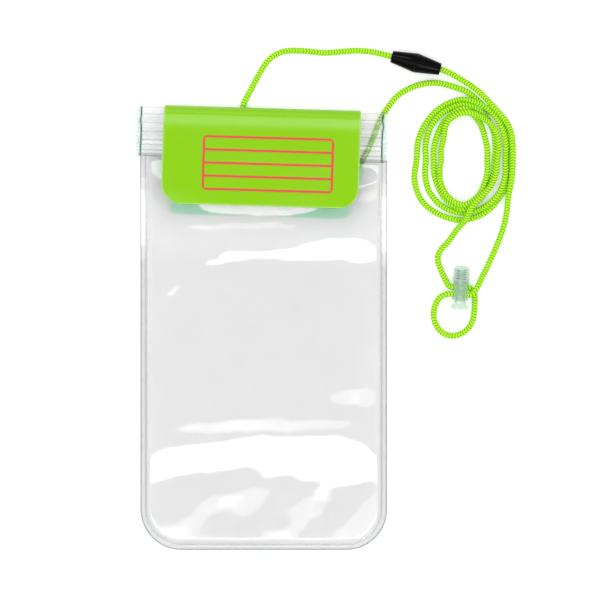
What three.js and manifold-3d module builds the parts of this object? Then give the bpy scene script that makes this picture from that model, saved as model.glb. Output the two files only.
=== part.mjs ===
// Waterproof phone pouch with a neck cord, lying flat on its back.
// Millimetres, +Z up, +X to the pouch's right and +Y towards its closed top.
// The origin is on the surface that it lies on, under the middle of the pouch.
import * as THREE from "three";
import { mergeVertices } from "three/addons/utils/BufferGeometryUtils.js";
import Module from "manifold-3d";

const wasm = await Module();
wasm.setup();

// Clear film bag
const FILM = 0.5;
const BODY_X = 0.85;
const BODY_WIDTH = 103.5;
const BODY_BOTTOM = -93.35;
const CORNER_RADIUS = 17;
const RIM = 2.5;
const SIDE_RISE = 14;
const POCKET_HEIGHT = 5;
// How full the bag is above its lower weld: the distance from the weld, and the share of its height
const BOTTOM_FULLNESS = [
  [0, 0],
  [1.5, 0.17],
  [3.5, 0.33],
  [8, 0.42],
  [16, 0.54],
  [24, 0.61],
  [30, 0.64],
  [36, 0.8],
  [41, 0.95],
  [45, 1],
];
// Rows of the bag's mesh: above its lower edge, and more of them above the rim
const RIM_STEPS = [0, 0.25, 1.1];
const EXTRA_STEPS = [12, 20];
const SEAM_GAP = 0.25;
const RISE_FROM_BAND = [49, 1.5];
const CEILING_FROM_BAND = [20, 2];
const RISING_ROWS = 12;

// Head: the press-zip band and the flap lie a little askew on the bag
const HEAD_X = 0.31;
const HEAD_Y = 91.25;
const HEAD_TILT = THREE.MathUtils.degToRad(1.7);
const BAND_WIDTH = 105.5;
const BAND_HEIGHT = 20.75;
const BAND_SHEET = 0.5;
const BAND_LAP = 1;
const LIP = 2.6;
const LIP_DROP = 1.5;
const CORD_TUNNEL = 3;
const ZIP_DEPTH = 2;
const RIB_PAIR_SHARES = [0.294, 0.7735];
const RIB_SPACING = 3.9;

// Rib that presses in, and the pair of walls that grip it
const STEM_HALF = 0.25;
const BARB_HALF = 0.65;
const BARB_TIP_HALF = 0.35;
const BARB_LENGTH = 0.65;
const BARB_SLOPE = 0.15;
const STEM_LENGTH = 0.95;
const GRIP_CLEARANCE = 0.3;
const GRIP_WALL = 0.4;
const GRIP_HEIGHT = 1.6;
const GRIP_HOOK = 0.4;
const GRIP_HOOK_THICK = 0.25;
const GRIP_HOOK_SLOPE = 0.2;

// Flap
const FLAP_SHEET = 0.5;
const FLAP_WIDTH = 82.8;
const FLAP_LENGTH = 40.4;
const FLAP_CORNER = 8.6;
const FLAP_OVERHANG = 0.9;
const WELD_LENGTH = 4;
const STRAP_SLOPE = 5.5;
const FOLD_STEPS = 12;
const MAX_MITER = 2;
const PATCH_THICK = 0.5;
const PATCH_MIDDLE = 12;
const PATCH_SIZE = [60, 9];
const PATCH_MARGIN = 1;
const PATCH_CORNER = 1.5;
const PRINT_THICK = 0.125;
const PRINT_SIZE = [55, 23];
const PRINT_PLACE = [3, -22.8];
const PRINT_LINE = 1;
const PRINT_RULES = 3;
const PRINT_CORNER = 2;
const HOLE_RADIUS = 1.7;
const HOLE_U = -8.6;
const HOLE_DEPTH = 4;

// Neck cord
const CORD_DIAMETER = 2.56;
const CORD_SIDES = 8;
const CORD_CLEARANCE = 0.3;
const TUBE_STEP = 6.2;
const LOCK_TUBE_STEP = 3.1;
const TUNNEL_LEVEL = 2;

// Breakaway clasp
const CLASP_X = 64.7;
const CLASP_Y = 110.95;
const CLASP_TURN = THREE.MathUtils.degToRad(-14.6);
const CLASP_LENGTH = 21.1;
const CLASP_RADIUS = 4.1;
const CLASP_END_RADIUS = 2.5;
const CLASP_JOINT = 0.3;
const MOUTH_DEPTH = 2.75;
const BULB_RADIUS = 2.15;
const BULB_NOSE = [0.9, 0.8];
const BULB_BACK = [0.5, 0.1];
const STEM_RADIUS = 1.6;
const STEM_REACH = 4.2;
const GROOVE = [2.4, 3.6];
const STOP_RADIUS = 2;
const STOP_LENGTH = 2.2;
const STOP_CHAMFER = 0.5;
const STOP_ROOM = 3.2;
const ROUND_SIDES = 24;

// Cord lock
const LOCK_X = 84.06;
const LOCK_Y = 25.96;
const LOCK_TURN = THREE.MathUtils.degToRad(-3.6);
const BARREL_RADIUS = 3.45;
const BARREL_LENGTH = 14.6;
const BARREL_WALL = 0.55;
const BARREL_CAP = 1.2;
const BARREL_CROWN = [
  [0, 1.6],
  [0.35, 0.6],
  [1.25, 0],
];
const PLUNGER_CLEARANCE = 0.3;
const PLUNGER_TRAVEL = 1.5;
const PLUNGER_HEAD = 1.2;
const FLANGE_RADIUS = 3.65;
const FLANGE_THICK = 2.1;
const FLANGE_CHAMFER = 0.4;
const PASS_FIRST = 9.2;
const PASS_SPACING = 2.9;
const PASS_HALF_HEIGHT = 1.9;
const PASS_CORNER = 1.2;
const SPRING_WIRE = 0.3;
const SPRING_TURNS = 4;
const SPRING_STEPS = 14;
const WIRE_SIDES = 6;

// Routes of the cord's stretches that aren't coiled
const POUCH_RUN = [
  [57.1, 112.93, 4.1],
  [54.5, 113.6, 4.1],
  [51.2, 114.5, 3.5],
  [46.6, 115.6, 2],
  [40, 116.2, 1.32],
  [33.7, 115.8, 1.3],
  [26.4, 115.3, 1.3],
  [18.6, 116, 1.3],
  [12.3, 116.2, 1.3],
  [8, 115.5, 1.3],
  [3.9, 113.2, 1.3],
  [0.7, 109.4, 1.3],
  [-2, 104.6, 1.3],
  [-4.9, 99.1, 1.5],
  [-7.3, 94.5, 1.9],
  [-8.3, 91, 2],
  [-8, 85, 2],
  [-4.5, 77, 2],
  [2, 70.5, 2],
  [11, 66, 2],
  [22, 63.8, 2],
  [33, 64.3, 2],
  [40.4, 67.8, 2],
  [44, 73.3, 2],
  [46.9, 80, 2],
  [49.7, 87.1, 1.9],
  [53, 92.4, 1.5],
  [56.6, 96.9, 1.3],
  [61.7, 100.2, 1.3],
  [66.8, 102, 1.3],
  [71.9, 102.7, 1.3],
  [77, 102, 1.3],
  [81.8, 100.6, 1.3],
  [85.4, 99.3, 1.3],
  [89.1, 96.8, 1.3],
  [92, 93.7, 1.3],
];
const CLASP_RUN = [
  [72.3, 108.97, 4.1],
  [74.9, 108.3, 4.1],
  [78.6, 106.9, 3.6],
  [83.5, 104.1, 3.2],
  [87.6, 101.6, 3.2],
  [91.4, 98.7, 3.2],
  [95.4, 94.5, 3.2],
  [97.5, 90.5, 3.2],
];
const LOCK_RUN = [
  [92.5, 55.2, 3],
  [88.3, 51, 3],
  [85.4, 45.1, 2.6],
  [81.8, 40.9, 1.5],
  [78.2, 35.9, 1.3],
  [75.4, 32.9, 1.3],
  [74, 30, 1.3],
  [74.1, 27.5, 1.3],
  [75.2, 24.2, 1.5],
  [76.9, 20.4, 2.2],
  [78.5, 17.6, 3],
  [80.2, 16.9, 3.15],
  [83.5, 16.75, 3.15],
  [87, 16.6, 3.1],
  [88.6, 15.6, 2.2],
  [89.4, 13.5, 1.5],
  [89.5, 10.8, 1.32],
  [89.3, 7.1, 1.3],
  [88.6, 3.2, 1.3],
  [86.8, -0.2, 1.3],
  [83.8, -2.6, 1.3],
  [80, -3.5, 1.3],
  [76.2, -2.4, 1.3],
  [73.6, 0.3, 1.3],
  [72.3, 3.6, 1.3],
  [72.2, 6.6, 1.4],
  [72.8, 9.4, 1.9],
  [74.4, 12.2, 2.8],
  [76.8, 13.8, 3.8],
  [80, 14.1, 4.15],
  [83.3, 13.9, 4.15],
  [86.9, 13.7, 4.25],
  [88.5, 14.2, 4.95],
  [90, 16.2, 5.1],
  [91.2, 18.5, 4.3],
  [92.6, 21.4, 2.9],
  [94.3, 24.7, 1.7],
  [96.1, 28.5, 1.32],
  [98.4, 33.8, 1.3],
  [101, 40.5, 1.3],
  [102.8, 48.1, 1.3],
  [103.2, 54, 1.3],
  [102, 62, 1.3],
];

// The cord's coil: an oval ring, as the distances of its edges from its middle, clockwise
const COIL_MIDDLE = [84.5, 70.35];
const COIL_OUTER = [26.6, 24.2, 21.6, 23.2, 26.5, 25.6, 20.8, 23.3];
const COIL_INNER = [17.7, 11.7, 8.8, 11.7, 17.7, 12.2, 8, 10.5];
const COIL_HEIGHT = 5.2;
const COIL_OUTLINE_POINTS = 40;

// Levels that follow from the sizes above, from the floor up
const strapTop = FLAP_SHEET;
const backBandBottom = strapTop + CORD_TUNNEL;
const backBandTop = backBandBottom + BAND_SHEET;
const frontBandBottom = backBandTop + ZIP_DEPTH;
const frontBandTop = frontBandBottom + BAND_SHEET;
const flapBottom = frontBandTop + 2 * PATCH_THICK;
const flapTop = flapBottom + FLAP_SHEET;
const backFilmLap = backBandTop + SEAM_GAP;
const frontFilmLap = frontBandBottom - SEAM_GAP - FILM;
const pocketCeiling = FILM + POCKET_HEIGHT;
const filmEdge = -(BAND_HEIGHT - BAND_LAP);
const cordRadius = CORD_DIAMETER / 2;

// Where the bag starts to rise to the band, and where it has risen, below the band's top edge
const riseStart = -(BAND_HEIGHT + RISE_FROM_BAND[0]);
const riseEnd = -(BAND_HEIGHT + RISE_FROM_BAND[1]);
const ceilingStart = -(BAND_HEIGHT + CEILING_FROM_BAND[0]);
const ceilingEnd = -(BAND_HEIGHT + CEILING_FROM_BAND[1]);

function plastic(color, roughness, opacity = 1) {
  return new THREE.MeshStandardMaterial({
    color,
    roughness,
    metalness: 0,
    transparent: opacity < 1,
    opacity,
  });
}

const clearFilm = plastic(0xe6ebea, 0.12, 0.4);
const clearBand = plastic(0xe2e8e6, 0.25, 0.55);
const greenSheet = plastic(0x8cd410, 0.3);
const redPrint = plastic(0xe23c3c, 0.4);
const blackPlastic = plastic(0x0a0a0a, 0.2);
const paleLock = plastic(0xbfe3c8, 0.3, 0.7);
const springSteel = new THREE.MeshStandardMaterial({ color: 0x8c9690, roughness: 0.3, metalness: 1 });
const greenCord = plastic(0x9cf000, 0.8);
const blackHook = plastic(0x1c1c1c, 0.9);
const hiddenWhite = plastic(0xd8dcd8, 0.8);

const group = new THREE.Group();

const head = new THREE.Group();
head.position.set(HEAD_X, HEAD_Y, 0);
head.rotation.z = -HEAD_TILT;
group.add(head);

const clasp = new THREE.Group();
clasp.position.set(CLASP_X, CLASP_Y, CLASP_RADIUS);
clasp.rotation.z = CLASP_TURN;
group.add(clasp);

const lock = new THREE.Group();
lock.position.set(LOCK_X, LOCK_Y, FLANGE_RADIUS);
lock.rotation.z = LOCK_TURN;
group.add(lock);

function add(parent, name, geometry, material) {
  const mesh = new THREE.Mesh(geometry, material);
  mesh.name = name;
  parent.add(mesh);
}

// A closed geometry as a solid that can be cut.
function solid(geometry) {
  const bare = geometry.index ? geometry.toNonIndexed() : geometry.clone();
  bare.deleteAttribute("normal");
  bare.deleteAttribute("uv");
  const merged = mergeVertices(bare, 1e-4);
  return new wasm.Manifold(
    new wasm.Mesh({
      numProp: 3,
      vertProperties: merged.attributes.position.array,
      triVerts: new Uint32Array(merged.index.array),
    }),
  );
}

function geometryOf(manifold) {
  const mesh = manifold.getMesh();
  const geometry = new THREE.BufferGeometry();
  geometry.setAttribute("position", new THREE.BufferAttribute(mesh.vertProperties, 3));
  geometry.setIndex(new THREE.BufferAttribute(mesh.triVerts, 1));
  return geometry;
}

function shapeOf(points) {
  return new THREE.Shape(points.map(([x, y]) => new THREE.Vector2(x, y)));
}

function roundedRectangle(centre, size, radius) {
  const [x, y] = [centre[0] - size[0] / 2, centre[1] - size[1] / 2];
  const [w, h] = size;
  const shape = new THREE.Shape();
  shape.moveTo(x + radius, y);
  shape.lineTo(x + w - radius, y);
  shape.absarc(x + w - radius, y + radius, radius, -Math.PI / 2, 0);
  shape.lineTo(x + w, y + h - radius);
  shape.absarc(x + w - radius, y + h - radius, radius, 0, Math.PI / 2);
  shape.lineTo(x + radius, y + h);
  shape.absarc(x + radius, y + h - radius, radius, Math.PI / 2, Math.PI);
  shape.lineTo(x, y + radius);
  shape.absarc(x + radius, y + radius, radius, Math.PI, Math.PI * 1.5);
  return shape;
}

// A flat plate with the given outline, from one level up to another.
function plate(shape, low, high, curveSegments = 6) {
  const geometry = new THREE.ExtrudeGeometry(shape, {
    depth: high - low,
    bevelEnabled: false,
    curveSegments,
  });
  return geometry.translate(0, 0, low);
}

// A section drawn in Y and Z, run along X with its middle at X = 0.
function runAcross(shape, width, curveSegments = 6) {
  const geometry = new THREE.ExtrudeGeometry(shape, {
    depth: width,
    bevelEnabled: false,
    curveSegments,
  });
  const turn = new THREE.Matrix4().makeBasis(
    new THREE.Vector3(0, 1, 0),
    new THREE.Vector3(0, 0, 1),
    new THREE.Vector3(1, 0, 0),
  );
  return geometry.applyMatrix4(turn).translate(-width / 2, 0, 0);
}

// A body turned round the Y axis. Its profile is listed with the larger Y values last.
function turned(profile) {
  const points = profile.map(([r, y]) => new THREE.Vector2(r, y));
  return new THREE.LatheGeometry(points, ROUND_SIDES);
}

function smooth(t) {
  return THREE.MathUtils.smoothstep(t, 0, 1);
}

// Height in the head's own frame: 0 at the band's top edge, negative below it.
function belowBandTop(x, y) {
  return (x - HEAD_X) * Math.sin(HEAD_TILT) + (y - HEAD_Y) * Math.cos(HEAD_TILT);
}

// Underside of the back film: on the floor, then rising to the band.
function backFilmLevel(v) {
  return backFilmLap * smooth((v - riseStart) / (riseEnd - riseStart));
}

function pocketCeilingLevel(v) {
  const drop = pocketCeiling - frontFilmLap;
  return pocketCeiling - drop * smooth((v - ceilingStart) / (ceilingEnd - ceilingStart));
}

function filmTopEdge(x) {
  return HEAD_Y + (filmEdge - (x - HEAD_X) * Math.sin(HEAD_TILT)) / Math.cos(HEAD_TILT);
}

// Half the bag's width at a height above its lower edge, narrower in the round corners.
function bodyHalfWidth(height) {
  const inside = Math.max(CORNER_RADIUS - height, 0);
  const arc = Math.sqrt(CORNER_RADIUS ** 2 - inside ** 2);
  return BODY_WIDTH / 2 - CORNER_RADIUS + arc;
}

const riseShares = [0, 0.15, 0.3, 0.45, 0.6, 0.75, 0.88, 1];
const sideSteps = [0, ...riseShares.map((share) => RIM + share * SIDE_RISE)];
const bottomSteps = [...RIM_STEPS, ...[...BOTTOM_FULLNESS.map(([up]) => up), ...EXTRA_STEPS].map((up) => RIM + up)];

function filmColumns() {
  const half = BODY_WIDTH / 2;
  const left = sideSteps.map((step) => -(1 - step / half));
  const right = sideSteps.map((step) => 1 - step / half).reverse();
  return [...left, 0, ...right];
}

function filmRows() {
  const rows = bottomSteps.sort((a, b) => a - b).map((up) => ({ up }));
  const rising = filmEdge - riseStart;
  rows.push({ up: (filmTopEdge(BODY_X) - BODY_BOTTOM - rising) / 2 });
  for (let i = 0; i <= RISING_ROWS; i++) rows.push({ down: rising * (1 - i / RISING_ROWS) });
  return rows;
}

// One film sheet over the bag's outline, between two surfaces.
function filmSheet(underside) {
  const columns = filmColumns();
  const rows = filmRows();
  const sheet = new THREE.BoxGeometry(1, 1, 1, columns.length - 1, rows.length - 1, 1);
  const place = sheet.attributes.position;
  for (let i = 0; i < place.count; i++) {
    const column = columns[Math.round((place.getX(i) + 0.5) * (columns.length - 1))];
    const row = rows[Math.round((place.getY(i) + 0.5) * (rows.length - 1))];
    const rough = row.up ?? Infinity;
    const half = bodyHalfWidth(Math.min(rough, CORNER_RADIUS));
    const x = BODY_X + column * half;
    const y = "up" in row ? BODY_BOTTOM + row.up : filmTopEdge(x) - row.down;
    const fromSide = half - Math.abs(x - BODY_X);
    const level = underside(belowBandTop(x, y), fromSide, y - BODY_BOTTOM);
    place.setXYZ(i, x, y, place.getZ(i) > 0 ? level + FILM : level);
  }
  return sheet;
}

function bottomFullness(up) {
  const last = BOTTOM_FULLNESS.findIndex(([at]) => at >= up);
  if (last < 0) return 1;
  if (last === 0) return 0;
  const [a, b] = [BOTTOM_FULLNESS[last - 1], BOTTOM_FULLNESS[last]];
  return a[1] + ((b[1] - a[1]) * (up - a[0])) / (b[0] - a[0]);
}

function pillow(fromSide, fromBottom) {
  return smooth((fromSide - RIM) / SIDE_RISE) * bottomFullness(fromBottom - RIM);
}

function addFilmPanels() {
  const back = filmSheet((v) => backFilmLevel(v));
  const front = filmSheet((v, fromSide, fromBottom) => {
    const seam = backFilmLevel(v) + FILM + SEAM_GAP;
    return seam + (pocketCeilingLevel(v) - seam) * pillow(fromSide, fromBottom);
  });
  add(group, "back_panel", back, clearFilm);
  add(group, "front_panel", front, clearFilm);
}

// Press-zip band
function ribPlaces() {
  const places = [];
  for (const share of RIB_PAIR_SHARES) {
    const centre = share * BAND_HEIGHT;
    places.push(-(centre + RIB_SPACING / 2), -(centre - RIB_SPACING / 2));
  }
  return places.sort((a, b) => a - b);
}

function pressRib(v) {
  const shoulder = frontBandBottom - STEM_LENGTH;
  const widest = shoulder - BARB_SLOPE;
  const tip = shoulder - BARB_LENGTH;
  return [
    [v - STEM_HALF, frontBandBottom],
    [v - STEM_HALF, shoulder],
    [v - BARB_HALF, widest],
    [v - BARB_TIP_HALF, tip],
    [v + BARB_TIP_HALF, tip],
    [v + BARB_HALF, widest],
    [v + STEM_HALF, shoulder],
    [v + STEM_HALF, frontBandBottom],
  ];
}

function gripWall(v, side) {
  const inner = v + side * (BARB_HALF + GRIP_CLEARANCE);
  const outer = inner + side * GRIP_WALL;
  const hook = inner - side * GRIP_HOOK;
  const top = backBandTop + GRIP_HEIGHT;
  const points = [
    [outer, backBandTop],
    [outer, top],
    [hook, top],
    [hook, top - GRIP_HOOK_THICK],
    [inner, top - GRIP_HOOK_THICK - GRIP_HOOK_SLOPE],
    [inner, backBandTop],
  ];
  return side < 0 ? points : points.reverse();
}

function addZipStrips() {
  const front = [
    [0, frontBandTop - LIP_DROP],
    [-LIP, frontBandTop],
    [-BAND_HEIGHT, frontBandTop],
    [-BAND_HEIGHT, frontBandBottom],
    ...ribPlaces().flatMap((v) => pressRib(v)),
    [-LIP, frontBandBottom],
    [0, frontBandBottom - LIP_DROP],
  ];
  const back = [
    [0, backBandBottom],
    [0, backBandTop],
    ...ribPlaces()
      .flatMap((v) => [...gripWall(v, -1), ...gripWall(v, 1)])
      .reverse(),
    [-BAND_HEIGHT, backBandTop],
    [-BAND_HEIGHT, backBandBottom],
  ];
  add(head, "front_zip_strip", runAcross(shapeOf(front), BAND_WIDTH), clearBand);
  add(head, "back_zip_strip", runAcross(shapeOf(back), BAND_WIDTH), clearBand);
}

// Flap: one sheet welded to the back film, round over the top and down the front
function flapLine() {
  const half = FLAP_SHEET / 2;
  const foldRadius = flapTop / 2 - half;
  const foldV = FLAP_OVERHANG - flapTop / 2;
  const weldTop = -FLAP_LENGTH + WELD_LENGTH;
  const weldLevel = (v) => backFilmLevel(v) - SEAM_GAP - half;
  const line = [
    [-FLAP_LENGTH, weldLevel(-FLAP_LENGTH)],
    [-FLAP_LENGTH + WELD_LENGTH / 2, weldLevel(-FLAP_LENGTH + WELD_LENGTH / 2)],
    [weldTop, weldLevel(weldTop)],
    [weldTop + STRAP_SLOPE, half],
  ];
  for (let i = 0; i <= FOLD_STEPS; i++) {
    const turn = (Math.PI * i) / FOLD_STEPS;
    line.push([foldV + foldRadius * Math.sin(turn), flapTop / 2 - foldRadius * Math.cos(turn)]);
  }
  line.push([-FLAP_LENGTH, flapTop - half]);
  return line;
}

function thickened(line, thickness) {
  const offset = (side) =>
    line.map(([x, y], i) => {
      const before = line[Math.max(i - 1, 0)];
      const after = line[Math.min(i + 1, line.length - 1)];
      const a = new THREE.Vector2(x - before[0], y - before[1]).normalize();
      const b = new THREE.Vector2(after[0] - x, after[1] - y).normalize();
      const along = a.clone().add(b).normalize();
      const miter = Math.max(along.dot(b), along.dot(a), 1 / MAX_MITER);
      const out = (side * thickness) / 2 / miter;
      return [x - along.y * out, y + along.x * out];
    });
  return [...offset(1), ...offset(-1).reverse()];
}

function addFlap() {
  const folded = solid(runAcross(shapeOf(thickened(flapLine(), FLAP_SHEET)), FLAP_WIDTH));
  const outline = roundedRectangle([0, 0], [FLAP_WIDTH, 2 * FLAP_LENGTH], FLAP_CORNER);
  const prism = solid(plate(outline, -FLAP_SHEET, flapTop + FLAP_SHEET, 8));
  const bore = new THREE.CylinderGeometry(HOLE_RADIUS, HOLE_RADIUS, HOLE_DEPTH, ROUND_SIDES);
  bore.translate(HOLE_U, 0, TUNNEL_LEVEL);
  const cut = folded.intersect(prism).subtract(solid(bore));
  add(head, "flap", geometryOf(cut), greenSheet);
}

// A blank writing panel printed on the flap: a frame with plain rules
function addPrint() {
  const [width, height] = PRINT_SIZE;
  const fields = PRINT_RULES + 1;
  const fieldHeight = (height - PRINT_LINE * (fields + 1)) / fields;
  const outline = roundedRectangle(PRINT_PLACE, PRINT_SIZE, PRINT_CORNER);
  let frame = solid(plate(outline, flapTop, flapTop + PRINT_THICK, 3));
  for (let i = 0; i < fields; i++) {
    const up = (i + 0.5) * fieldHeight + (i + 1) * PRINT_LINE - height / 2;
    const field = new THREE.BoxGeometry(width - 2 * PRINT_LINE, fieldHeight, 1);
    field.translate(PRINT_PLACE[0], PRINT_PLACE[1] + up, flapTop);
    frame = frame.subtract(solid(field));
  }
  add(head, "flap_print", geometryOf(frame), redPrint);
}

// Hook and loop patches that hold the flap down on the band
function addPatches() {
  const middle = [0, -PATCH_MIDDLE];
  const loop = roundedRectangle(middle, PATCH_SIZE, PATCH_CORNER);
  const hookSize = PATCH_SIZE.map((size) => size - 2 * PATCH_MARGIN);
  const hook = roundedRectangle(middle, hookSize, PATCH_CORNER);
  const meet = frontBandTop + PATCH_THICK;
  add(head, "loop_patch", plate(loop, frontBandTop, meet, 3), hiddenWhite);
  add(head, "hook_patch", plate(hook, meet, flapBottom, 3), blackHook);
}

// Breakaway clasp, turned about X: the socket is on the left and the plug on the right
const claspHalf = CLASP_LENGTH / 2;
const claspMeet = CLASP_JOINT / 2;
const cordHole = cordRadius + CORD_CLEARANCE;
const cavityRadius = STOP_RADIUS + CORD_CLEARANCE;
const holeEnd = claspHalf - MOUTH_DEPTH;
const cavityEnd = holeEnd - STOP_ROOM;
const socketBore = STEM_RADIUS + CORD_CLEARANCE;
const grooveRadius = BULB_RADIUS + CORD_CLEARANCE;

function alongX(geometry) {
  return geometry.rotateZ(-Math.PI / 2);
}

function addClaspSocket() {
  const profile = [
    [cordHole, -claspHalf],
    [CLASP_END_RADIUS, -claspHalf],
    [CLASP_RADIUS, -claspMeet],
    [socketBore, -claspMeet],
    [socketBore, -GROOVE[0]],
    [grooveRadius, -GROOVE[0]],
    [grooveRadius, -GROOVE[1]],
    [cavityRadius, -cavityEnd],
    [cavityRadius, -holeEnd],
    [cordHole, -holeEnd],
    [cordHole, -claspHalf],
  ];
  add(clasp, "clasp_socket", alongX(turned(profile)), blackPlastic);
}

function addClaspPlug() {
  const profile = [
    [0, -STEM_REACH],
    [BULB_RADIUS - BULB_NOSE[0], -STEM_REACH],
    [BULB_RADIUS, -STEM_REACH + BULB_NOSE[1]],
    [BULB_RADIUS, -GROOVE[0] - BULB_BACK[0]],
    [STEM_RADIUS, -GROOVE[0] + BULB_BACK[1]],
    [STEM_RADIUS, claspMeet],
    [CLASP_RADIUS, claspMeet],
    [CLASP_END_RADIUS, claspHalf],
    [cordHole, claspHalf],
    [cordHole, holeEnd],
    [cavityRadius, holeEnd],
    [cavityRadius, cavityEnd],
    [0, cavityEnd],
  ];
  add(clasp, "clasp_plug", alongX(turned(profile)), blackPlastic);
}

// A bead clenched on the cord's end, which can't pull out through the clasp's hole
function addCordStop(name, side) {
  const outer = holeEnd - CORD_CLEARANCE;
  const inner = outer - STOP_LENGTH;
  const profile = [
    [0, inner],
    [STOP_RADIUS - STOP_CHAMFER, inner],
    [STOP_RADIUS, inner + STOP_CHAMFER],
    [STOP_RADIUS, outer - STOP_CHAMFER],
    [STOP_RADIUS - STOP_CHAMFER, outer],
    [0, outer],
  ];
  const bead = alongX(turned(profile));
  if (side < 0) bead.rotateZ(Math.PI);
  add(clasp, name, bead, springSteel);
}

// Cord lock, with its axis along Y and its closed end at Y = 0
const boreRadius = BARREL_RADIUS - BARREL_WALL;
const plungerRadius = boreRadius - PLUNGER_CLEARANCE;
const slotTop = PASS_FIRST - cordHole;
const slotBottom = PASS_FIRST + PASS_SPACING + cordHole;
const plungerEnd = slotTop - PLUNGER_HEAD;
const flangeTop = BARREL_LENGTH + PLUNGER_TRAVEL + PLUNGER_CLEARANCE;
const flangeBottom = flangeTop + FLANGE_THICK;

// The way for the cord's two passes, through the lock from side to side
function cordWay(top, bottom) {
  const middle = [-(top + bottom) / 2, 0];
  const size = [bottom - top, 2 * PASS_HALF_HEIGHT];
  return solid(runAcross(roundedRectangle(middle, size, PASS_CORNER), 3 * FLANGE_RADIUS, 3));
}

function addLockBarrel() {
  const profile = [
    [boreRadius, -BARREL_LENGTH],
    [BARREL_RADIUS, -BARREL_LENGTH],
    ...BARREL_CROWN.map(([inward, down]) => [BARREL_RADIUS - inward, -down]),
    [0, 0],
  ];
  const inside = [
    [0, -BARREL_CAP],
    [boreRadius, -BARREL_CAP],
  ];
  const outline = [...inside, ...profile];
  const body = solid(turned(outline)).subtract(cordWay(slotTop, slotBottom));
  add(lock, "lock_barrel", geometryOf(body), paleLock);
}

function addLockPlunger() {
  const profile = [
    [0, -flangeBottom],
    [FLANGE_RADIUS - FLANGE_CHAMFER, -flangeBottom],
    [FLANGE_RADIUS, -flangeBottom + FLANGE_CHAMFER],
    [FLANGE_RADIUS, -flangeTop],
    [plungerRadius, -flangeTop],
    [plungerRadius, -plungerEnd],
    [0, -plungerEnd],
  ];
  const way = cordWay(slotTop, slotBottom + PLUNGER_TRAVEL);
  add(lock, "lock_plunger", geometryOf(solid(turned(profile)).subtract(way)), paleLock);
}

class Helix extends THREE.Curve {
  constructor(radius, turns, start, end) {
    super();
    this.radius = radius;
    this.turns = turns;
    this.start = start;
    this.end = end;
  }

  getPoint(t) {
    const angle = 2 * Math.PI * this.turns * t;
    const y = this.start + (this.end - this.start) * t;
    return new THREE.Vector3(this.radius * Math.cos(angle), y, this.radius * Math.sin(angle));
  }
}

function circleShape(radius, sides) {
  const points = [];
  for (let i = 0; i < sides; i++) {
    const angle = (2 * Math.PI * (i + 0.5)) / sides;
    points.push([radius * Math.cos(angle), radius * Math.sin(angle)]);
  }
  return shapeOf(points);
}

function addLockSpring() {
  const seat = SPRING_WIRE + CORD_CLEARANCE;
  const start = -(BARREL_CAP + seat);
  const end = -(plungerEnd - seat);
  const radius = boreRadius - SPRING_WIRE - 2 * PLUNGER_CLEARANCE;
  const path = new Helix(radius, SPRING_TURNS, start, end);
  const wire = new THREE.ExtrudeGeometry(circleShape(SPRING_WIRE, WIRE_SIDES), {
    extrudePath: path,
    steps: SPRING_TURNS * SPRING_STEPS,
    bevelEnabled: false,
  });
  add(lock, "lock_spring", wire, springSteel);
}

function oval(distances, growth) {
  const spokes = distances.map((distance, i) => {
    const angle = Math.PI / 2 - (2 * Math.PI * i) / distances.length;
    const reach = distance + growth;
    const x = COIL_MIDDLE[0] + reach * Math.cos(angle);
    const y = COIL_MIDDLE[1] + reach * Math.sin(angle);
    return new THREE.Vector3(x, y, 0);
  });
  const curve = new THREE.CatmullRomCurve3(spokes, true);
  const points = curve.getPoints(COIL_OUTLINE_POINTS).slice(0, -1);
  return points.map((point) => new THREE.Vector2(point.x, point.y));
}

function coilBody(growth) {
  const shape = new THREE.Shape(oval(COIL_OUTER, growth));
  shape.holes.push(new THREE.Path(oval(COIL_INNER, -growth).reverse()));
  return plate(shape, -growth, COIL_HEIGHT + growth);
}

function cordTube(route, step) {
  const path = new THREE.CatmullRomCurve3(
    route.map(([x, y, z]) => new THREE.Vector3(x, y, z)),
    false,
    "centripetal",
  );
  return new THREE.ExtrudeGeometry(circleShape(cordRadius, CORD_SIDES), {
    extrudePath: path,
    steps: Math.round(path.getLength() / step),
    bevelEnabled: false,
  });
}

// The cord's run, cut back where it dips into the coil
function addCordRun(name, route, step) {
  const run = solid(cordTube(route, step)).subtract(solid(coilBody(CORD_CLEARANCE)));
  add(group, name, geometryOf(run), greenCord);
}

function addCord() {
  addCordRun("cord_pouch_run", POUCH_RUN, TUBE_STEP);
  addCordRun("cord_clasp_run", CLASP_RUN, TUBE_STEP);
  addCordRun("cord_lock_run", LOCK_RUN, LOCK_TUBE_STEP);
  add(group, "cord_coil", coilBody(0), greenCord);
}

addFilmPanels();
addZipStrips();
addFlap();
addPrint();
addPatches();
addClaspSocket();
addClaspPlug();
addCordStop("cord_stop_socket", -1);
addCordStop("cord_stop_plug", 1);
addLockBarrel();
addLockPlunger();
addLockSpring();
addCord();

export default group;
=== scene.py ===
"""Waterproof phone pouch with a neck cord, lying flat on its back and seen from above."""

import math

import bmesh
import bpy
import numpy as np
from mathutils import Matrix, Vector


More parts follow.
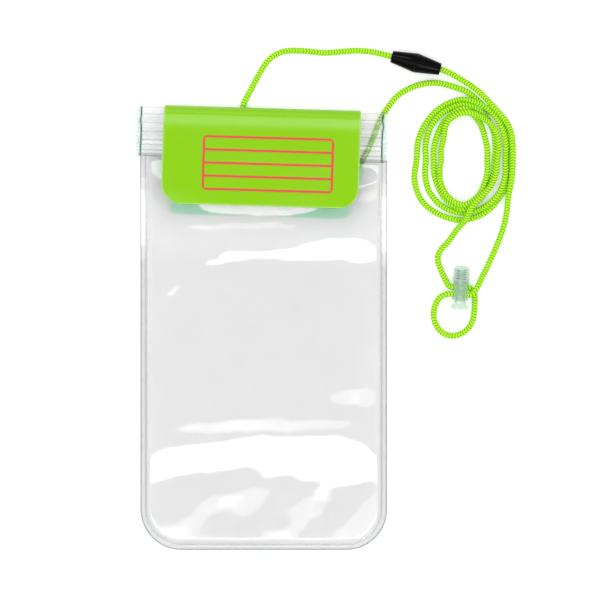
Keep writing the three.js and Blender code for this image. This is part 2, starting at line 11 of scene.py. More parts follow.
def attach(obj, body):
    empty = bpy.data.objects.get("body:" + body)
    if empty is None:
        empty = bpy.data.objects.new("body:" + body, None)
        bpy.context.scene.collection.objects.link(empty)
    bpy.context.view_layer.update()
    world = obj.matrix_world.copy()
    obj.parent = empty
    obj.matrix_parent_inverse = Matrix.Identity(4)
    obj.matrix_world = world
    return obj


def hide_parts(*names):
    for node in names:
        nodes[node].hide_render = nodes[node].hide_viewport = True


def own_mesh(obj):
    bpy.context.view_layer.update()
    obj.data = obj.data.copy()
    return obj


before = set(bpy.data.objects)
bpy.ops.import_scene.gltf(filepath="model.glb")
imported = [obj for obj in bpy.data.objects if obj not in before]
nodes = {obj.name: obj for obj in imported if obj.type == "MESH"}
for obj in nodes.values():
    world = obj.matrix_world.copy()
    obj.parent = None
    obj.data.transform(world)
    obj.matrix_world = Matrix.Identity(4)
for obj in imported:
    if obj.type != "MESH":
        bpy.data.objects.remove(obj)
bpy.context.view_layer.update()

MM = 0.001
# Room left between pieces that lie on each other, in millimetres as all that follows
GAP = 0.02

# Camera, straight above the middle of the picture
VIEW_MIDDLE = (16.07, 11.55)
VIEW_WIDTH = 252
CAMERA_HEIGHT = 2400
SENSOR = 36
VIEW_DEPTH = 20

# Soft boxes, in metres: place, width and depth, and how bright each looks
SOFTBOXES = {
    "low_softbox": ((0.0, -0.77, 3.0), (3.6, 0.46), 3.2),
    "dim_softbox": ((0.0, -0.42, 3.0), (3.6, 0.24), 1.2),
    "high_softbox": ((0.0, 0.55, 3.0), (2.8, 0.31), 3.5),
    "north_strip": ((-0.9, 2.6, 3.0), (0.8, 0.3), 16.0),
    "south_strip": ((1.0, -1.95, 3.0), (0.8, 0.24), 16.0),
}
# Brightness of the room from the horizon, 0, to straight above, 1
ROOM_LIGHT = [(0, 1), (0.06, 1), (0.13, 0.4), (0.3, 0.5), (0.6, 0.9), (0.85, 1), (0.93, 0.35), (1, 0.12)]
# Floor, in metres, and how much it glows where it is seen past the pouch
FLOOR_HALF = 6.0
FLOOR_LEVEL = -0.00006
FLOOR_LIFT = 0.4
# Head of the pouch: the press-zip band and the flap lie a little askew on the bag
HEAD_X = 0.31
HEAD_Y = 91.25
HEAD_TILT = math.radians(1.7)

# Neck cord
CORD_DIAMETER = 2.56
CORD_SIDES = 28
RING_STEP = 0.27
BRAID_COLUMNS = 2
BRAID_LEAN = 0.7
BRAID_PITCH = 1.18
BRAID_RELIEF = 0.17
STRAND_ROUND = 0.9
# Colours over a strand, from the gap beside it, 0, to its middle, 1
# the cord's green, darker in the gaps as painted shade and lighter along the middle as painted highlight
STRAND_GREENS_PAINTED_SHADE_AND_HIGHLIGHT = [(0.15, (98, 180, 0)), (0.48, (136, 220, 0)), (0.76, (180, 250, 20)), (1, (206, 255, 62))]
ROUTE_STEP = 0.8
# Routes, each point with its level where that isn't the cord's level on the floor
LYING = 1.3
CLASP_ROUTE = [
    (57.1, 112.93, 4.1), (54.5, 113.6, 4.1), (51.2, 114.5, 3.5), (46.6, 115.6, 2), (40, 116.2, 1.32),
    (33.7, 115.8), (26.4, 115.3), (18.6, 116), (12.3, 116.2), (8, 115.5),
    (3.9, 113.2), (0.7, 109.4), (-2, 104.6), (-4.9, 99.1, 1.5), (-7.3, 94.5, 1.9),
    (-8.3, 91, 2),
]
TUNNEL_ROUTE = [
    (-8.3, 91, 2), (-8, 85, 2), (-4.5, 77, 2), (2, 70.5, 2), (11, 66, 2), (22, 63.8, 2),
    (33, 64.3, 2), (40.4, 67.8, 2), (44, 73.3, 2), (46.9, 80, 2), (49.7, 87.1, 1.9), (53, 92.4, 1.5),
    (56.6, 96.9), (61.7, 100.2), (66.8, 102), (71.9, 102.7), (77, 102),
    (81.8, 100.6), (85.4, 99.3), (89.1, 96.8), (95, 91.1),
]
# Coil: the cord's distance from the coil's middle, every eighth of a turn clockwise from up-right
COIL_MIDDLE = (84.5, 70.35)
COIL_REACH = [
    22.9, 20.2, 22.0, 25.2, 24.4, 19.5, 22.0, 25.3,
    21.7, 17.8, 20.6, 22.3, 19.6, 15.6, 19.3, 23.0,
    17.8, 13.2, 15.3, 20.6, 15.1, 12.3, 15.1, 21.2,
    13.0, 10.1, 13.0, 19.0, 13.4, 9.2, 11.8, 19.6,
    18.5, 14.3, 16.0,
]
COIL_STEPS = 2
TAIL_ROUTE = [
    (92.5, 55.2), (88.3, 51), (85.4, 45.1), (81.8, 40.9), (78.2, 35.9),
    (75.4, 32.9), (74, 30), (74.1, 27.5), (75.2, 24.2, 1.5), (76.9, 20.4, 2.2),
    (78.5, 17.6, 3), (80.2, 16.9, 3.15), (83.5, 16.75, 3.15), (87, 16.6, 3.1), (88.6, 15.6, 2.2),
    (89.4, 13.5, 1.5), (89.5, 10.8, 1.32), (89.3, 7.1), (88.6, 3.2), (86.8, -0.2),
    (83.8, -2.6), (80, -3.5), (76.2, -2.4), (73.6, 0.3), (72.3, 3.6),
    (72.2, 6.6, 1.4), (72.8, 9.4, 1.9), (74.4, 12.2, 2.8), (76.8, 13.8, 3.8), (80, 14.1, 4.15),
    (83.3, 13.9, 4.15), (86.9, 13.7, 4.25), (88.5, 14.2, 4.95), (90, 16.2, 5.1), (91.2, 18.5, 4.3),
    (92.6, 21.4, 2.9), (94.3, 24.7, 1.7), (96.1, 28.5, 1.32), (98.4, 33.8), (101, 40.5),
    (102.8, 48.1), (103.5, 55), (104.7, 61.1), (105.3, 68), (105.3, 76.6),
    (104.7, 81.5), (102.8, 86), (99.3, 90.2, 2), (95.4, 94.5, 3.2), (91.4, 98.7, 3.2),
    (87.6, 101.6, 3.2), (83.5, 104.1, 3.2), (78.6, 106.9, 3.6), (74.9, 108.3, 4.1), (72.3, 108.97, 4.1),
]
# How the cord lies over itself: how far a hump reaches, and how much cord lies between two that cross
HUMP_REACH = 9
CROSSING_LENGTH = 9
LAY_ROUNDS = 14
LAY_ERROR = 0.02

# Bag of clear film
BODY_X = 0.85
BODY_WIDTH = 103.5
BODY_BOTTOM = -93.35
CORNER_RADIUS = 17
RIM = 2.5
FILM = 0.5
FRONT_STEPS = (0.85, 0.5)
BACK_STEPS = (1.6, 1.6)
EDGE_STEPS = [0, 0.08, 0.2, 0.45, 0.75, 1.05, 1.35, 1.7, 2.05, 2.3, 2.5, 2.75, 3.1, 3.6, 4.3, 5.1]
# Weld: how far in from the edge its bead and its lip are, and how wide
WELD_BEAD = (2.3, 0.28)
WELD_LIP = (0.15, 0.2)
CUT_EDGE = 0.3
# Front film's rise over its rim, from its sides and towards the band
RIM_RISE = 1.75
RIM_REACH = 0.6
SIDE_RISE = 15
SWELL = 1.0
SWELL_REACH = 48
SLOW_WAVE = 0.04
TOP_RISE = 2.0
TOP_REACH = 125
LAP_REACH = 13
# How much clear sheets mirror: no more than a share, by their refraction, and less for the lower ones
SHEET_MIRROR = 0.3
FILM_IOR = 1.53
UNDER_IOR = 1.25
# Painted reflection of the flap's green on the film, past the flap's outline, and how far the flap's painted
# shadow reaches
PAINTED_REFLECTION_WIDER = 1.4
PAINTED_REFLECTION_LONGER = 4.1
PAINTED_SHADOW_REACH = 5
# Grid over the bag on which the creases are worked out
FIELD_STEP = 0.4
FIELD_SIDES = (-56, 58)
FIELD_TOP = 72
FIELD_WIDTH = 512
FIELD_ROWS = 640
CREASE_GAIN = 1.6
CREASE_STIFFNESS = 0.3
CREASE_SOFTNESS = 0.45
CREASE_SWAY = 0.35

# Head: levels and sizes
BAND_WIDTH = 105.5
BAND_HEIGHT = 20.75
BAND_LAP = 1
BAND_SHEET = 0.5
LIP = 2.6
LIP_DROP = 1.5
BACK_BAND = (3.5, 4.0)
FRONT_BAND = (6.0, 6.5)
BACK_LAP = 4.27
FRONT_LAP_TOP = 5.73
FLAP_SHEET = 0.5
FLAP_TOP = 8.0
FLAP_WIDTH = 82.8
FLAP_LENGTH = 40.4
FLAP_CORNER = 8.6
FLAP_OVERHANG = 0.9
FOLD_DROP = 0.3
FOLD_REACH = 6.5
FOLD_PULL = 0.3
FOLD_PULL_REACH = 9
FOLD_CORNER = 0.7
WELD_LENGTH = 4
STRAP_SLOPE = 5.5
HOLE_RADIUS = 1.7
HOLE_U = -8.6
HOLE_LEVEL = 2
HOLE_DEPTH = 4
BAND_MIDDLE = 5
FLAP_ROUNDING = 0.3
PRINT_STEP = 2.2
PRINT_TOP = 0.05
PRINT_UNDER = -0.03
# Width of the painted highlight along the flap's edges
FLAP_EDGE_HIGHLIGHT = 0.45
FLAP_FOLD_ROWS = 60
RISE_START = -(BAND_HEIGHT + 49)
RISE_END = -(BAND_HEIGHT + 1.5)

# Lines across the band, how far below its top edge, and how strongly each shows
BAND_LINES = [0, 3.1, 4.5, 6.7, 8.9, 10.3, 13.9, 15.9, 18.1, 19.6, 20.75]
LINE_STRENGTH = [0.9, 0.7, 0.5, 0.5, 0.35, 1, 1, 0.6, 0.8, 0.6, 0.8]
LINE_HALF = 0.2
# How steeply each rib dips towards the bottom, at its upper and its lower side
RIB_DIPS = [
    (0.06, 0.12), (0.13, 0.17), (-0.02, 0.11), (0.07, 0.13), (0.05, 0.1),
    (0.02, 0.12), (0.12, 0.17), (0.05, 0.12), (0.06, 0.13), (0.12, 0.19),
]
GROOVE = 0.14
# Ribs of the press zip, how far below the top edge
PRESS_RIBS = [(4.15, 8.05), (14.1, 18)]
PRESS_RIB_HALF = 0.45
FRONT_RIB = 1.3
BACK_RIB = 0.35
# Ends of the band, pressed flat by the weld
END_STEPS = [0, 0.1, 0.3, 0.6, 1, 1.4, 1.8, 2.2, 2.6, 3, 3.5]
CRUSHED_END = 1.6
TEAL_LINE = (2.1, 0.2)
MINT_EDGE = (1.3, 0.9)

# Clasp
CLASP_PLACE = (64.7, 110.95, 4.1)
CLASP_TURN = -14.6
CLASP_HALF = 10.55
CLASP_RADIUS = 4.1
CLASP_FACE = 4.06
CLASP_END_RADIUS = 2.5
CLASP_JOINT = 0.02
CORD_HOLE = 1.58

# Cord lock
LOCK_PLACE = (84.06, 25.96, 3.65)
LOCK_TURN = -3.6
BARREL_RADIUS = 3.45
BARREL_LENGTH = 14.6
BORE_RADIUS = 2.9
PLUNGER_RADIUS = 2.6
SLOT_TOP = 7.62
SLOT_BOTTOM = 13.68
SLOT_HALF_HEIGHT = 1.9
PLUNGER_TOP = 6.42
FLANGE = (16.4, 18.5, 3.65)
TRAVEL = 1.5
SPRING_ENDS = (1.8, 5.82)
SPRING_RADIUS = 2.0
SPRING_WIRE = 0.22
SPRING_TURNS = 4
SPRING_SIDES = 12
SLOT_WIDTH = 9
SLOT_ROUNDING = 1.2

# Creases of the front film, each the outline of the slope where it dips towards the bag's bottom,
# as x and y in turn, in tenths of a millimetre
CREASE_OUTLINES = [
    [-492, -568, -453, -531, -400, -509, -306, -497, -196, -487, -86, -465, -5, -457, 98, -462, 207, -460,
     316, -453, 375, -468, 434, -498, 478, -535, 504, -561, 511, -615, 511, -681, 488, -682, 471, -640, 438,
     -645, 390, -656, 295, -667, 278, -691, 270, -729, 236, -729, 224, -699, 244, -667, 236, -645, 177, -641,
     134, -623, 90, -608, 54, -627, 9, -630, -20, -590, -56, -580, -152, -599, -283, -608, -415, -634, -485,
     -663],
    [-452, -846, -394, -837, -335, -832, -306, -798, -254, -740, -196, -705, -130, -707, -133, -747, -167,
     -766, -210, -783, -247, -806, -269, -842, -269, -871, -247, -901, -343, -909, -394, -892, -430, -863],
    [-130, -703, -93, -699, -49, -681, -16, -668, 20, -678, 17, -711, -12, -755, -56, -788, -93, -790, -108,
     -773, -138, -754],
    [266, -708, 214, -711, 177, -725, 148, -747, 119, -773, 127, -791, 134, -813, 127, -835, 98, -851, 61,
     -856, 24, -861, 17, -879, 24, -905, 141, -905, 145, -871, 177, -828, 185, -810, 244, -784, 266, -755,
     273, -725],
    [480, -670, 463, -703, 420, -747, 390, -798, 354, -832, 317, -857, 303, -887, 266, -905, 354, -907, 413,
     -887, 463, -842, 497, -791, 509, -740, 511, -670],
    [-232, 271, -211, 263, -163, 268, -119, 281, -66, 286, 20, 295, 105, 284, 191, 281, 309, 289, 416, 271,
     443, 276, 486, 290, 491, 309, 475, 341, 443, 362, 384, 374, 357, 368, 309, 371, 256, 365, 175, 346, 95,
     324, 30, 316, -72, 318, -173, 309, -184, 284],
    [-275, 525, -248, 496, -211, 486, -152, 481, -77, 475, 20, 472, 105, 472, 175, 481, 229, 497, 240, 509,
     170, 494, 105, 484, 20, 484, -77, 487, -152, 493, -211, 499, -238, 509, -255, 530],
    [-275, 540, -248, 496, -211, 486, -152, 481, -77, 475, 20, 472, 105, 472, 175, 481, 229, 497, 260, 540],
    [278, -298, 318, -268, 383, -262, 450, -254, 461, -262, 469, -311, 450, -328, 371, -321, 305, -318],
    [-358, -426, -299, -406, -207, -403, -109, -390, 23, -382, 121, -393, 253, -390, 358, -393, 371, -406,
     345, -424, 253, -423, 121, -433, -43, -433, -207, -442, -306, -436],
    [416, 582, 459, 603, 491, 622, 497, 571, 486, 544, 453, 525, 411, 522],
    [-395, 140, -353, 178, -346, 174, -385, 134],
    [-345, 417, -200, 431, 0, 439, 150, 433, 150, 420, 0, 417, -200, 410],
]
CREASES = [[(x / 10, y / 10) for x, y in zip(line[::2], line[1::2])] for line in CREASE_OUTLINES]
# The crease in which the painted mint reflection is missing
CRESCENT = 7
# How deep each crease is, 1 where it mirrors the middle of the low soft box
CREASE_DEPTHS = [1, 0.5, 0.5, 0.54, 0.52, 1, 1, 0.6, 0.62, 0.58, 0.62, 1, 0.55]

# Small helpers


def smooth(t):
    t = np.clip(t, 0, 1)
    return t * t * (3 - 2 * t)


def bell(t):
    return np.exp(-(t**2))


def turned(x, y, angle):
    return x * np.cos(angle) - y * np.sin(angle), x * np.sin(angle) + y * np.cos(angle)


def head_place(u, v, z):
    """The pouch's own millimetres from the head's: u to its right and v up from the band's top edge."""
    x, y = turned(u, v, -HEAD_TILT)
    return np.stack(np.broadcast_arrays(HEAD_X + x, HEAD_Y + y, z), axis=-1)


def head_uv(x, y):
    """The head's own u and v of places on the pouch."""
    return turned(x - HEAD_X, y - HEAD_Y, HEAD_TILT)


def put_in_scene(thing):
    bpy.context.scene.collection.objects.link(thing)
    return thing


def add_mesh(name, points, faces, body="pouch"):
    """A mesh piece from points in millimetres, riding on a body."""
    mesh = bpy.data.meshes.new(name)
    mesh.from_pydata((np.asarray(points, float) * MM).tolist(), [], faces)
    mesh.validate()
    mesh.shade_smooth()
    piece = put_in_scene(bpy.data.objects.new(name, mesh))
    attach(piece, body)
    return piece


def set_point_values(piece, name, values):
    layer = piece.data.attributes.new(name, "FLOAT", "POINT")
    layer.data.foreach_set("value", np.asarray(values, np.float32).ravel())


def set_sheet_values(piece, **fields):
    """Values at a closed sheet's points, the same on both of its faces."""
    for name, values in fields.items():
        set_point_values(piece, name, np.tile(values.ravel(), 2))


def grid_faces(rows, columns, offset=0, close=False, flip=False):
    """Quads of a grid whose points are listed row by row."""
    last = columns if close else columns - 1
    i, j = np.meshgrid(np.arange(rows - 1), np.arange(last), indexing="ij")
    k = (j + 1) % columns
    quads = np.stack([i * columns + j, i * columns + k, (i + 1) * columns + k, (i + 1) * columns + j], axis=-1)
    quads = quads.reshape(-1, 4) + offset
    return (quads[:, ::-1] if flip else quads).tolist()


def border(rows, columns):
    """Indices of a grid's outline, once round."""
    low = list(range(columns))
    right = [i * columns + columns - 1 for i in range(1, rows)]
    top = [(rows - 1) * columns + j for j in range(columns - 2, -1, -1)]
    left = [i * columns for i in range(rows - 2, 0, -1)]
    return low + right + top + left


def sheet_solid(upper, lower):
    """Points and faces of a closed sheet between two grids of points."""
    rows, columns = upper.shape[:2]
    count = rows * columns
    faces = grid_faces(rows, columns) + grid_faces(rows, columns, count, flip=True)
    ring = border(rows, columns)
    for a, b in zip(ring, ring[1:] + ring[:1]):
        faces.append([a, a + count, b + count, b])
    return np.concatenate([upper.reshape(-1, 3), lower.reshape(-1, 3)]), faces


def smooth_line(points, step):
    """Points a step apart along the smooth curve through the given ones."""
    p = np.asarray(points, float)
    p = np.vstack([2 * p[0] - p[1], p, 2 * p[-1] - p[-2]])
    fine = []
    for a, b, c, d in zip(p, p[1:], p[2:], p[3:]):
        k1 = np.linalg.norm(b - a) ** 0.5
        k2 = k1 + np.linalg.norm(c - b) ** 0.5
        k3 = k2 + np.linalg.norm(d - c) ** 0.5
        t = np.linspace(k1, k2, 24, endpoint=False)[:, None]
        ab = (k1 - t) / k1 * a + t / k1 * b
        bc = (k2 - t) / (k2 - k1) * b + (t - k1) / (k2 - k1) * c
        cd = (k3 - t) / (k3 - k2) * c + (t - k2) / (k3 - k2) * d
        abc = (k2 - t) / k2 * ab + t / k2 * bc
        bcd = (k3 - t) / (k3 - k1) * bc + (t - k1) / (k3 - k1) * cd
        fine.append((k2 - t) / (k2 - k1) * abc + (t - k1) / (k2 - k1) * bcd)
    return spaced(np.vstack([*fine, p[-2:-1]]), step)


def spaced(line, step):
    along = np.concatenate([[0], np.cumsum(np.linalg.norm(np.diff(line, axis=0), axis=1))])
    count = max(int(round(along[-1] / step)), 2)
    at = np.linspace(0, along[-1], count + 1)
    return np.stack([np.interp(at, along, line[:, k]) for k in range(3)], axis=1)


def turned_frames(line):
    """Unit vectors across a line that don't twist about it."""
    along = np.gradient(line, axis=0)
    along /= np.linalg.norm(along, axis=1)[:, None]
    side = np.cross(along[0], (0, 0, 1))
    side /= np.linalg.norm(side)
    sides = []
    for t in along:
        side = side - t * np.dot(side, t)
        side /= np.linalg.norm(side)
        sides.append(side)
    sides = np.array(sides)
    return sides, np.cross(along, sides)


def tube(line, radius, sides):
    """Points and faces of a tube round a line, closed at both ends."""
    across, up = turned_frames(line)
    angle = (np.arange(sides) / sides * 2 * np.pi)[None, :, None]
    ring = across[:, None, :] * np.cos(angle) + up[:, None, :] * np.sin(angle)
    points = line[:, None, :] + ring * radius
    faces = grid_faces(len(line), sides, close=True)
    faces.append(list(range(sides))[::-1])
    faces.append([(len(line) - 1) * sides + k for k in range(sides)])
    return points.reshape(-1, 3), faces


def steps(fine, coarse, length):
    """Distances from an edge: the fine ones, then a coarse step up to the length."""
    count = max(int(round((length - fine[-1]) / coarse)), 1)
    return list(fine) + list(np.linspace(fine[-1], length, count + 1)[1:])


def both_ways(edge):
    """Places from -1 to 1, from distances from an edge up to the middle."""
    half = edge[-1]
    return np.array([d / half - 1 for d in edge] + [1 - d / half for d in edge[::-1][1:]])


def wavy(x, y, seed, scale, count=7):
    """Slow waves with a range of about 1 either way."""
    random = np.random.default_rng(seed)
    total = np.zeros(np.shape(x))
    for _ in range(count):
        direction = random.uniform(0, 2 * np.pi)
        pitch = scale * random.uniform(0.6, 1.8)
        phase = random.uniform(0, 2 * np.pi)
        total += np.sin(2 * np.pi * (x * np.cos(direction) + y * np.sin(direction)) / pitch + phase)
    return total / math.sqrt(count)


def cut_away(piece, model, place, turn=0.0):
    """Takes a shape out of a piece, at a place and turned by degrees."""
    mesh = bpy.data.meshes.new("cutter")
    model.to_mesh(mesh)
    model.free()
    cutter = put_in_scene(bpy.data.objects.new("cutter", mesh))
    cutter.location = Vector(place) * MM
    cutter.rotation_euler = (0, 0, math.radians(turn))
    tool = piece.modifiers.new("cut", "BOOLEAN")
    tool.object = cutter
    tool.operation = "DIFFERENCE"
    tool.solver = "EXACT"
    shaped = piece.evaluated_get(bpy.context.evaluated_depsgraph_get())
    mesh = bpy.data.meshes.new_from_object(shaped)
    piece.modifiers.clear()
    piece.data = mesh
    bpy.data.objects.remove(cutter)


# Helpers for materials


def make(tree, kind, inputs=None, **settings):
    node = tree.nodes.new("ShaderNode" + kind)
    for key, value in settings.items():
        setattr(node, key, value)
    for key, value in (inputs or {}).items():
        if isinstance(value, bpy.types.NodeSocket):
            tree.links.new(value, node.inputs[key])
        else:
            node.inputs[key].default_value = value
    return node


def maths(tree, operation, a, b=0.0, clamp=False):
    return make(tree, "Math", {0: a, 1: b}, operation=operation, use_clamp=clamp).outputs[0]


def rgb(red, green, blue):
    """A linear colour from an sRGB one of 0 to 255."""
    shares = [c / 255 for c in (red, green, blue)]
    return (*[((c + 0.055) / 1.055) ** 2.4 if c > 0.04045 else c / 12.92 for c in shares], 1)


def grey(level):
    return (level, level, level, 1)


def blend_colour(tree, factor, a, b):
    node = make(tree, "Mix", data_type="RGBA")
    for socket, value in ((node.inputs[0], factor), (node.inputs[6], a), (node.inputs[7], b)):
        if isinstance(value, bpy.types.NodeSocket):
            tree.links.new(value, socket)
        else:
            socket.default_value = value
    return node.outputs[2]


def noise(tree, scale, detail=3.0, stretch=(1, 1, 1)):
    """Noise over the object, at so many features a metre."""
    place = make(tree, "TexCoord").outputs["Object"]
    spread = make(tree, "Mapping", {"Vector": place, "Scale": stretch}).outputs[0]
    return make(tree, "TexNoise", {"Vector": spread, "Scale": scale, "Detail": detail}).outputs["Fac"]


def spread_over(tree, value, to_low, to_high, low=0.3, high=0.7):
    inputs = {"Value": value, "From Min": low, "From Max": high, "To Min": to_low, "To Max": to_high}
    return make(tree, "MapRange", inputs).outputs[0]


def ramp(tree, value, stops):
    """A colour that changes with a value, through stops of a place and a colour."""
    node = make(tree, "ValToRGB", {0: value})
    elements = node.color_ramp.elements
    elements.remove(elements[1])
    elements[0].position, elements[0].color = stops[0]
    for place, colour in stops[1:]:
        elements.new(place).color = colour
    return node.outputs[0]


def bump(tree, height, distance, strength=0.5):
    inputs = {"Height": height, "Distance": distance, "Strength": strength}
    return make(tree, "Bump", inputs).outputs[0]


def point_value(tree, name):
    return make(tree, "Attribute", attribute_name=name).outputs["Fac"]


def new_material(name):
    material = bpy.data.materials.new(name)
    material.use_nodes = True
    tree = material.node_tree
    tree.nodes.clear()
    return material, tree


def finish_material(material, shader):
    tree = material.node_tree
    tree.links.new(shader, make(tree, "OutputMaterial").inputs["Surface"])
    return material


def finish_opaque(material, **inputs):
    """Ends a material with the plain shader; its inputs' names are written with underscores."""
    named = {key.replace("_", " "): value for key, value in inputs.items()}
    return finish_material(material, make(material.node_tree, "BsdfPrincipled", named).outputs[0])


def give(piece, material):
    piece.data.materials.clear()
    piece.data.materials.append(material)


def dress(piece, material, slot, *replaced):
    """Gives a piece its material and hides the CAD nodes that it replaces; the slot is not used."""
    give(piece, material)
    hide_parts(*replaced)


# Camera, light and floor


def add_camera():
    data = bpy.data.cameras.new("camera")
    data.lens = SENSOR * CAMERA_HEIGHT / VIEW_WIDTH
    data.sensor_width = SENSOR
    data.clip_end = VIEW_DEPTH
    camera = put_in_scene(bpy.data.objects.new("camera", data))
    camera.location = Vector((*VIEW_MIDDLE, CAMERA_HEIGHT)) * MM
    bpy.context.scene.camera = camera


def seen_past(tree):
    """1 for what the camera sees directly, through clear film or in a shiny surface."""
    path = make(tree, "LightPath")
    seen = maths(tree, "MAXIMUM", path.outputs["Is Camera Ray"], path.outputs["Is Glossy Ray"])
    return maths(tree, "MAXIMUM", seen, path.outputs["Is Transmission Ray"])


def add_world():
    """A pale room, bright round the sides and dim straight above, where glossy things mirror it."""
    world = bpy.data.worlds.new("studio")
    world.use_nodes = True
    bpy.context.scene.world = world
    tree = world.node_tree
    tree.nodes.clear()
    direction = make(tree, "TexCoord").outputs["Generated"]
    up = make(tree, "SeparateXYZ", {0: direction}).outputs[2]
    light = ramp(tree, up, [(place, grey(level)) for place, level in ROOM_LIGHT])
    room = make(tree, "Background", {"Color": light, "Strength": 1.0})
    output = make(tree, "OutputWorld")
    tree.links.new(room.outputs[0], output.inputs["Surface"])


def add_lights():
    """The soft boxes, each aimed at the pouch and as bright as it looks."""
    for name, (place, size, radiance) in SOFTBOXES.items():
        data = bpy.data.lights.new(name, "AREA")
        data.shape = "RECTANGLE"
        data.size, data.size_y = size
        data.energy = radiance * math.pi * size[0] * size[1]
        lamp = put_in_scene(bpy.data.objects.new(name, data))
        lamp.location = place
        lamp.rotation_mode = "QUATERNION"
        lamp.rotation_quaternion = Vector(place).to_track_quat("Z", "Y")


def floor_material():
    material, tree = new_material("floor_paper")
    shade = spread_over(tree, noise(tree, 30, 2.0), 0.8, 0.84)
    colour = make(tree, "CombineColor", {0: shade, 1: shade, 2: shade}).outputs[0]
    matt = make(tree, "BsdfDiffuse", {"Color": colour})
    glow = maths(tree, "MULTIPLY", seen_past(tree), FLOOR_LIFT)
    lift = make(tree, "Emission", {"Color": grey(1), "Strength": glow})
    both = make(tree, "AddShader", {0: matt.outputs[0], 1: lift.outputs[0]})
    return finish_material(material, both.outputs[0])


def add_floor():
    mesh = bpy.data.meshes.new("floor")
    corners = [(-1, -1), (1, -1), (1, 1), (-1, 1)]
    places = [(a * FLOOR_HALF, b * FLOOR_HALF, FLOOR_LEVEL) for a, b in corners]
    mesh.from_pydata(places, [], [(0, 1, 2, 3)])
    floor = put_in_scene(bpy.data.objects.new("floor", mesh))
    give(floor, floor_material())


# Neck cord


def coil_points():
    """Points round the coil, clockwise, from its reach every eighth of a turn."""
    reach = np.asarray(COIL_REACH)
    at = np.arange(len(reach))
    fine = np.arange((len(reach) - 1) * COIL_STEPS + 1) / COIL_STEPS
    curve = smooth_line(np.stack([at, reach, 0 * at], axis=1), 0.05)
    spokes = np.interp(fine, curve[:, 0], curve[:, 1])
    angle = math.pi / 2 - (fine + 1) * math.pi / 4
    x = COIL_MIDDLE[0] + spokes * np.cos(angle)
    y = COIL_MIDDLE[1] + spokes * np.sin(angle)
    return [(a, b, CORD_DIAMETER / 2 + GAP) for a, b in zip(x, y)]


def laid_down(line, step):
    """Lifts each later stretch of a cord over the earlier ones that it crosses, in low humps."""
    along = np.arange(len(line)) * step
    apart = np.linalg.norm(line[:, None, :2] - line[None, :, :2], axis=2)
    later = (along[:, None] - along[None, :]) > CROSSING_LENGTH
    touching = later & (apart < CORD_DIAMETER)
    rise = np.sqrt(np.maximum(CORD_DIAMETER**2 - apart**2, 0))
    gap = np.abs(along[:, None] - along[None, :])
    bell = np.where(gap < HUMP_REACH, 0.5 + 0.5 * np.cos(np.pi * gap / HUMP_REACH), 0)
    level = line[:, 2].copy()
    for _ in range(LAY_ROUNDS):
        need = np.where(touching, level[None, :] + rise - level[:, None], 0).max(axis=1)
        need = np.maximum(need, 0)
        if need.max() < LAY_ERROR:
            break
        level += (bell * need[None, :]).max(axis=1)
    soft = np.ones(5) / 5
    level[2:-2] = np.convolve(level, soft, mode="valid")
    return np.column_stack([line[:, :2], level])


def braid_height(around, along):
    """Height of the braid, 0 to 1: strands in chevrons, from turns round the cord and pitches along it."""
    lean = np.abs((BRAID_COLUMNS * around) % 1 * 2 - 1)
    strand = (along + BRAID_LEAN * lean) % 1
    return np.sin(np.pi * strand) ** STRAND_ROUND


def add_cord(name, line):
    """A braided round cord along a line of ring centres."""
    turn = np.arange(CORD_SIDES) / CORD_SIDES
    along = np.arange(len(line)) * RING_STEP / BRAID_PITCH
    height = braid_height(turn[None, :], along[:, None])
    radius = CORD_DIAMETER / 2 - BRAID_RELIEF * (1 - height)
    points, faces = tube(line, radius[:, :, None], CORD_SIDES)
    cord = add_mesh(name, points, faces)
    layer = cord.data.uv_layers.new(name="braid")
    i, j = np.divmod(np.arange(len(faces) - 2), CORD_SIDES)
    u = np.stack([j, j + 1, j + 1, j], axis=1) / CORD_SIDES
    v = along[np.stack([i, i, i + 1, i + 1], axis=1)]
    coordinates = np.zeros((len(cord.data.loops), 2), np.float32)
    coordinates[: u.size] = np.stack([u, v], axis=-1).reshape(-1, 2)
    layer.data.foreach_set("uv", coordinates.ravel())
    return cord


def cord_material():
    """Braided yarn in its green, with a painted highlight along the middle of each strand and painted shade
    between them.
    """
    material, tree = new_material("braided_cord")
    uv = make(tree, "UVMap", uv_map="braid").outputs[0]
    split = make(tree, "SeparateXYZ", {0: uv})
    column = maths(tree, "FRACT", maths(tree, "MULTIPLY", split.outputs[0], float(BRAID_COLUMNS)))
    lean = maths(tree, "ABSOLUTE", maths(tree, "SUBTRACT", maths(tree, "MULTIPLY", column, 2.0), 1.0))
    shifted = maths(tree, "ADD", split.outputs[1], maths(tree, "MULTIPLY", lean, BRAID_LEAN))
    strand = maths(tree, "SINE", maths(tree, "MULTIPLY", maths(tree, "FRACT", shifted), math.pi))
    yarn = noise(tree, 2600, 2.0)
    spread = maths(tree, "MULTIPLY", maths(tree, "SUBTRACT", yarn, 0.5), 0.2)
    grown = maths(tree, "ADD", strand, spread, clamp=True)
    faded = spread_over(tree, noise(tree, 60, 2.0), 0, 0.1, 0.35, 0.75)
    # Painted shade between the strands and a painted highlight along their middles
    stops = [(place, rgb(*colour)) for place, colour in STRAND_GREENS_PAINTED_SHADE_AND_HIGHLIGHT]
    colour = blend_colour(tree, faded, ramp(tree, grown, stops), rgb(140, 236, 0))
    rough = spread_over(tree, yarn, 0.55, 0.8)
    normal = bump(tree, grown, 0.0002, 0.6)
    return finish_opaque(material, Base_Color=colour, Roughness=rough, Specular_IOR_Level=0.2,
                         Sheen_Weight=0.05, Normal=normal)


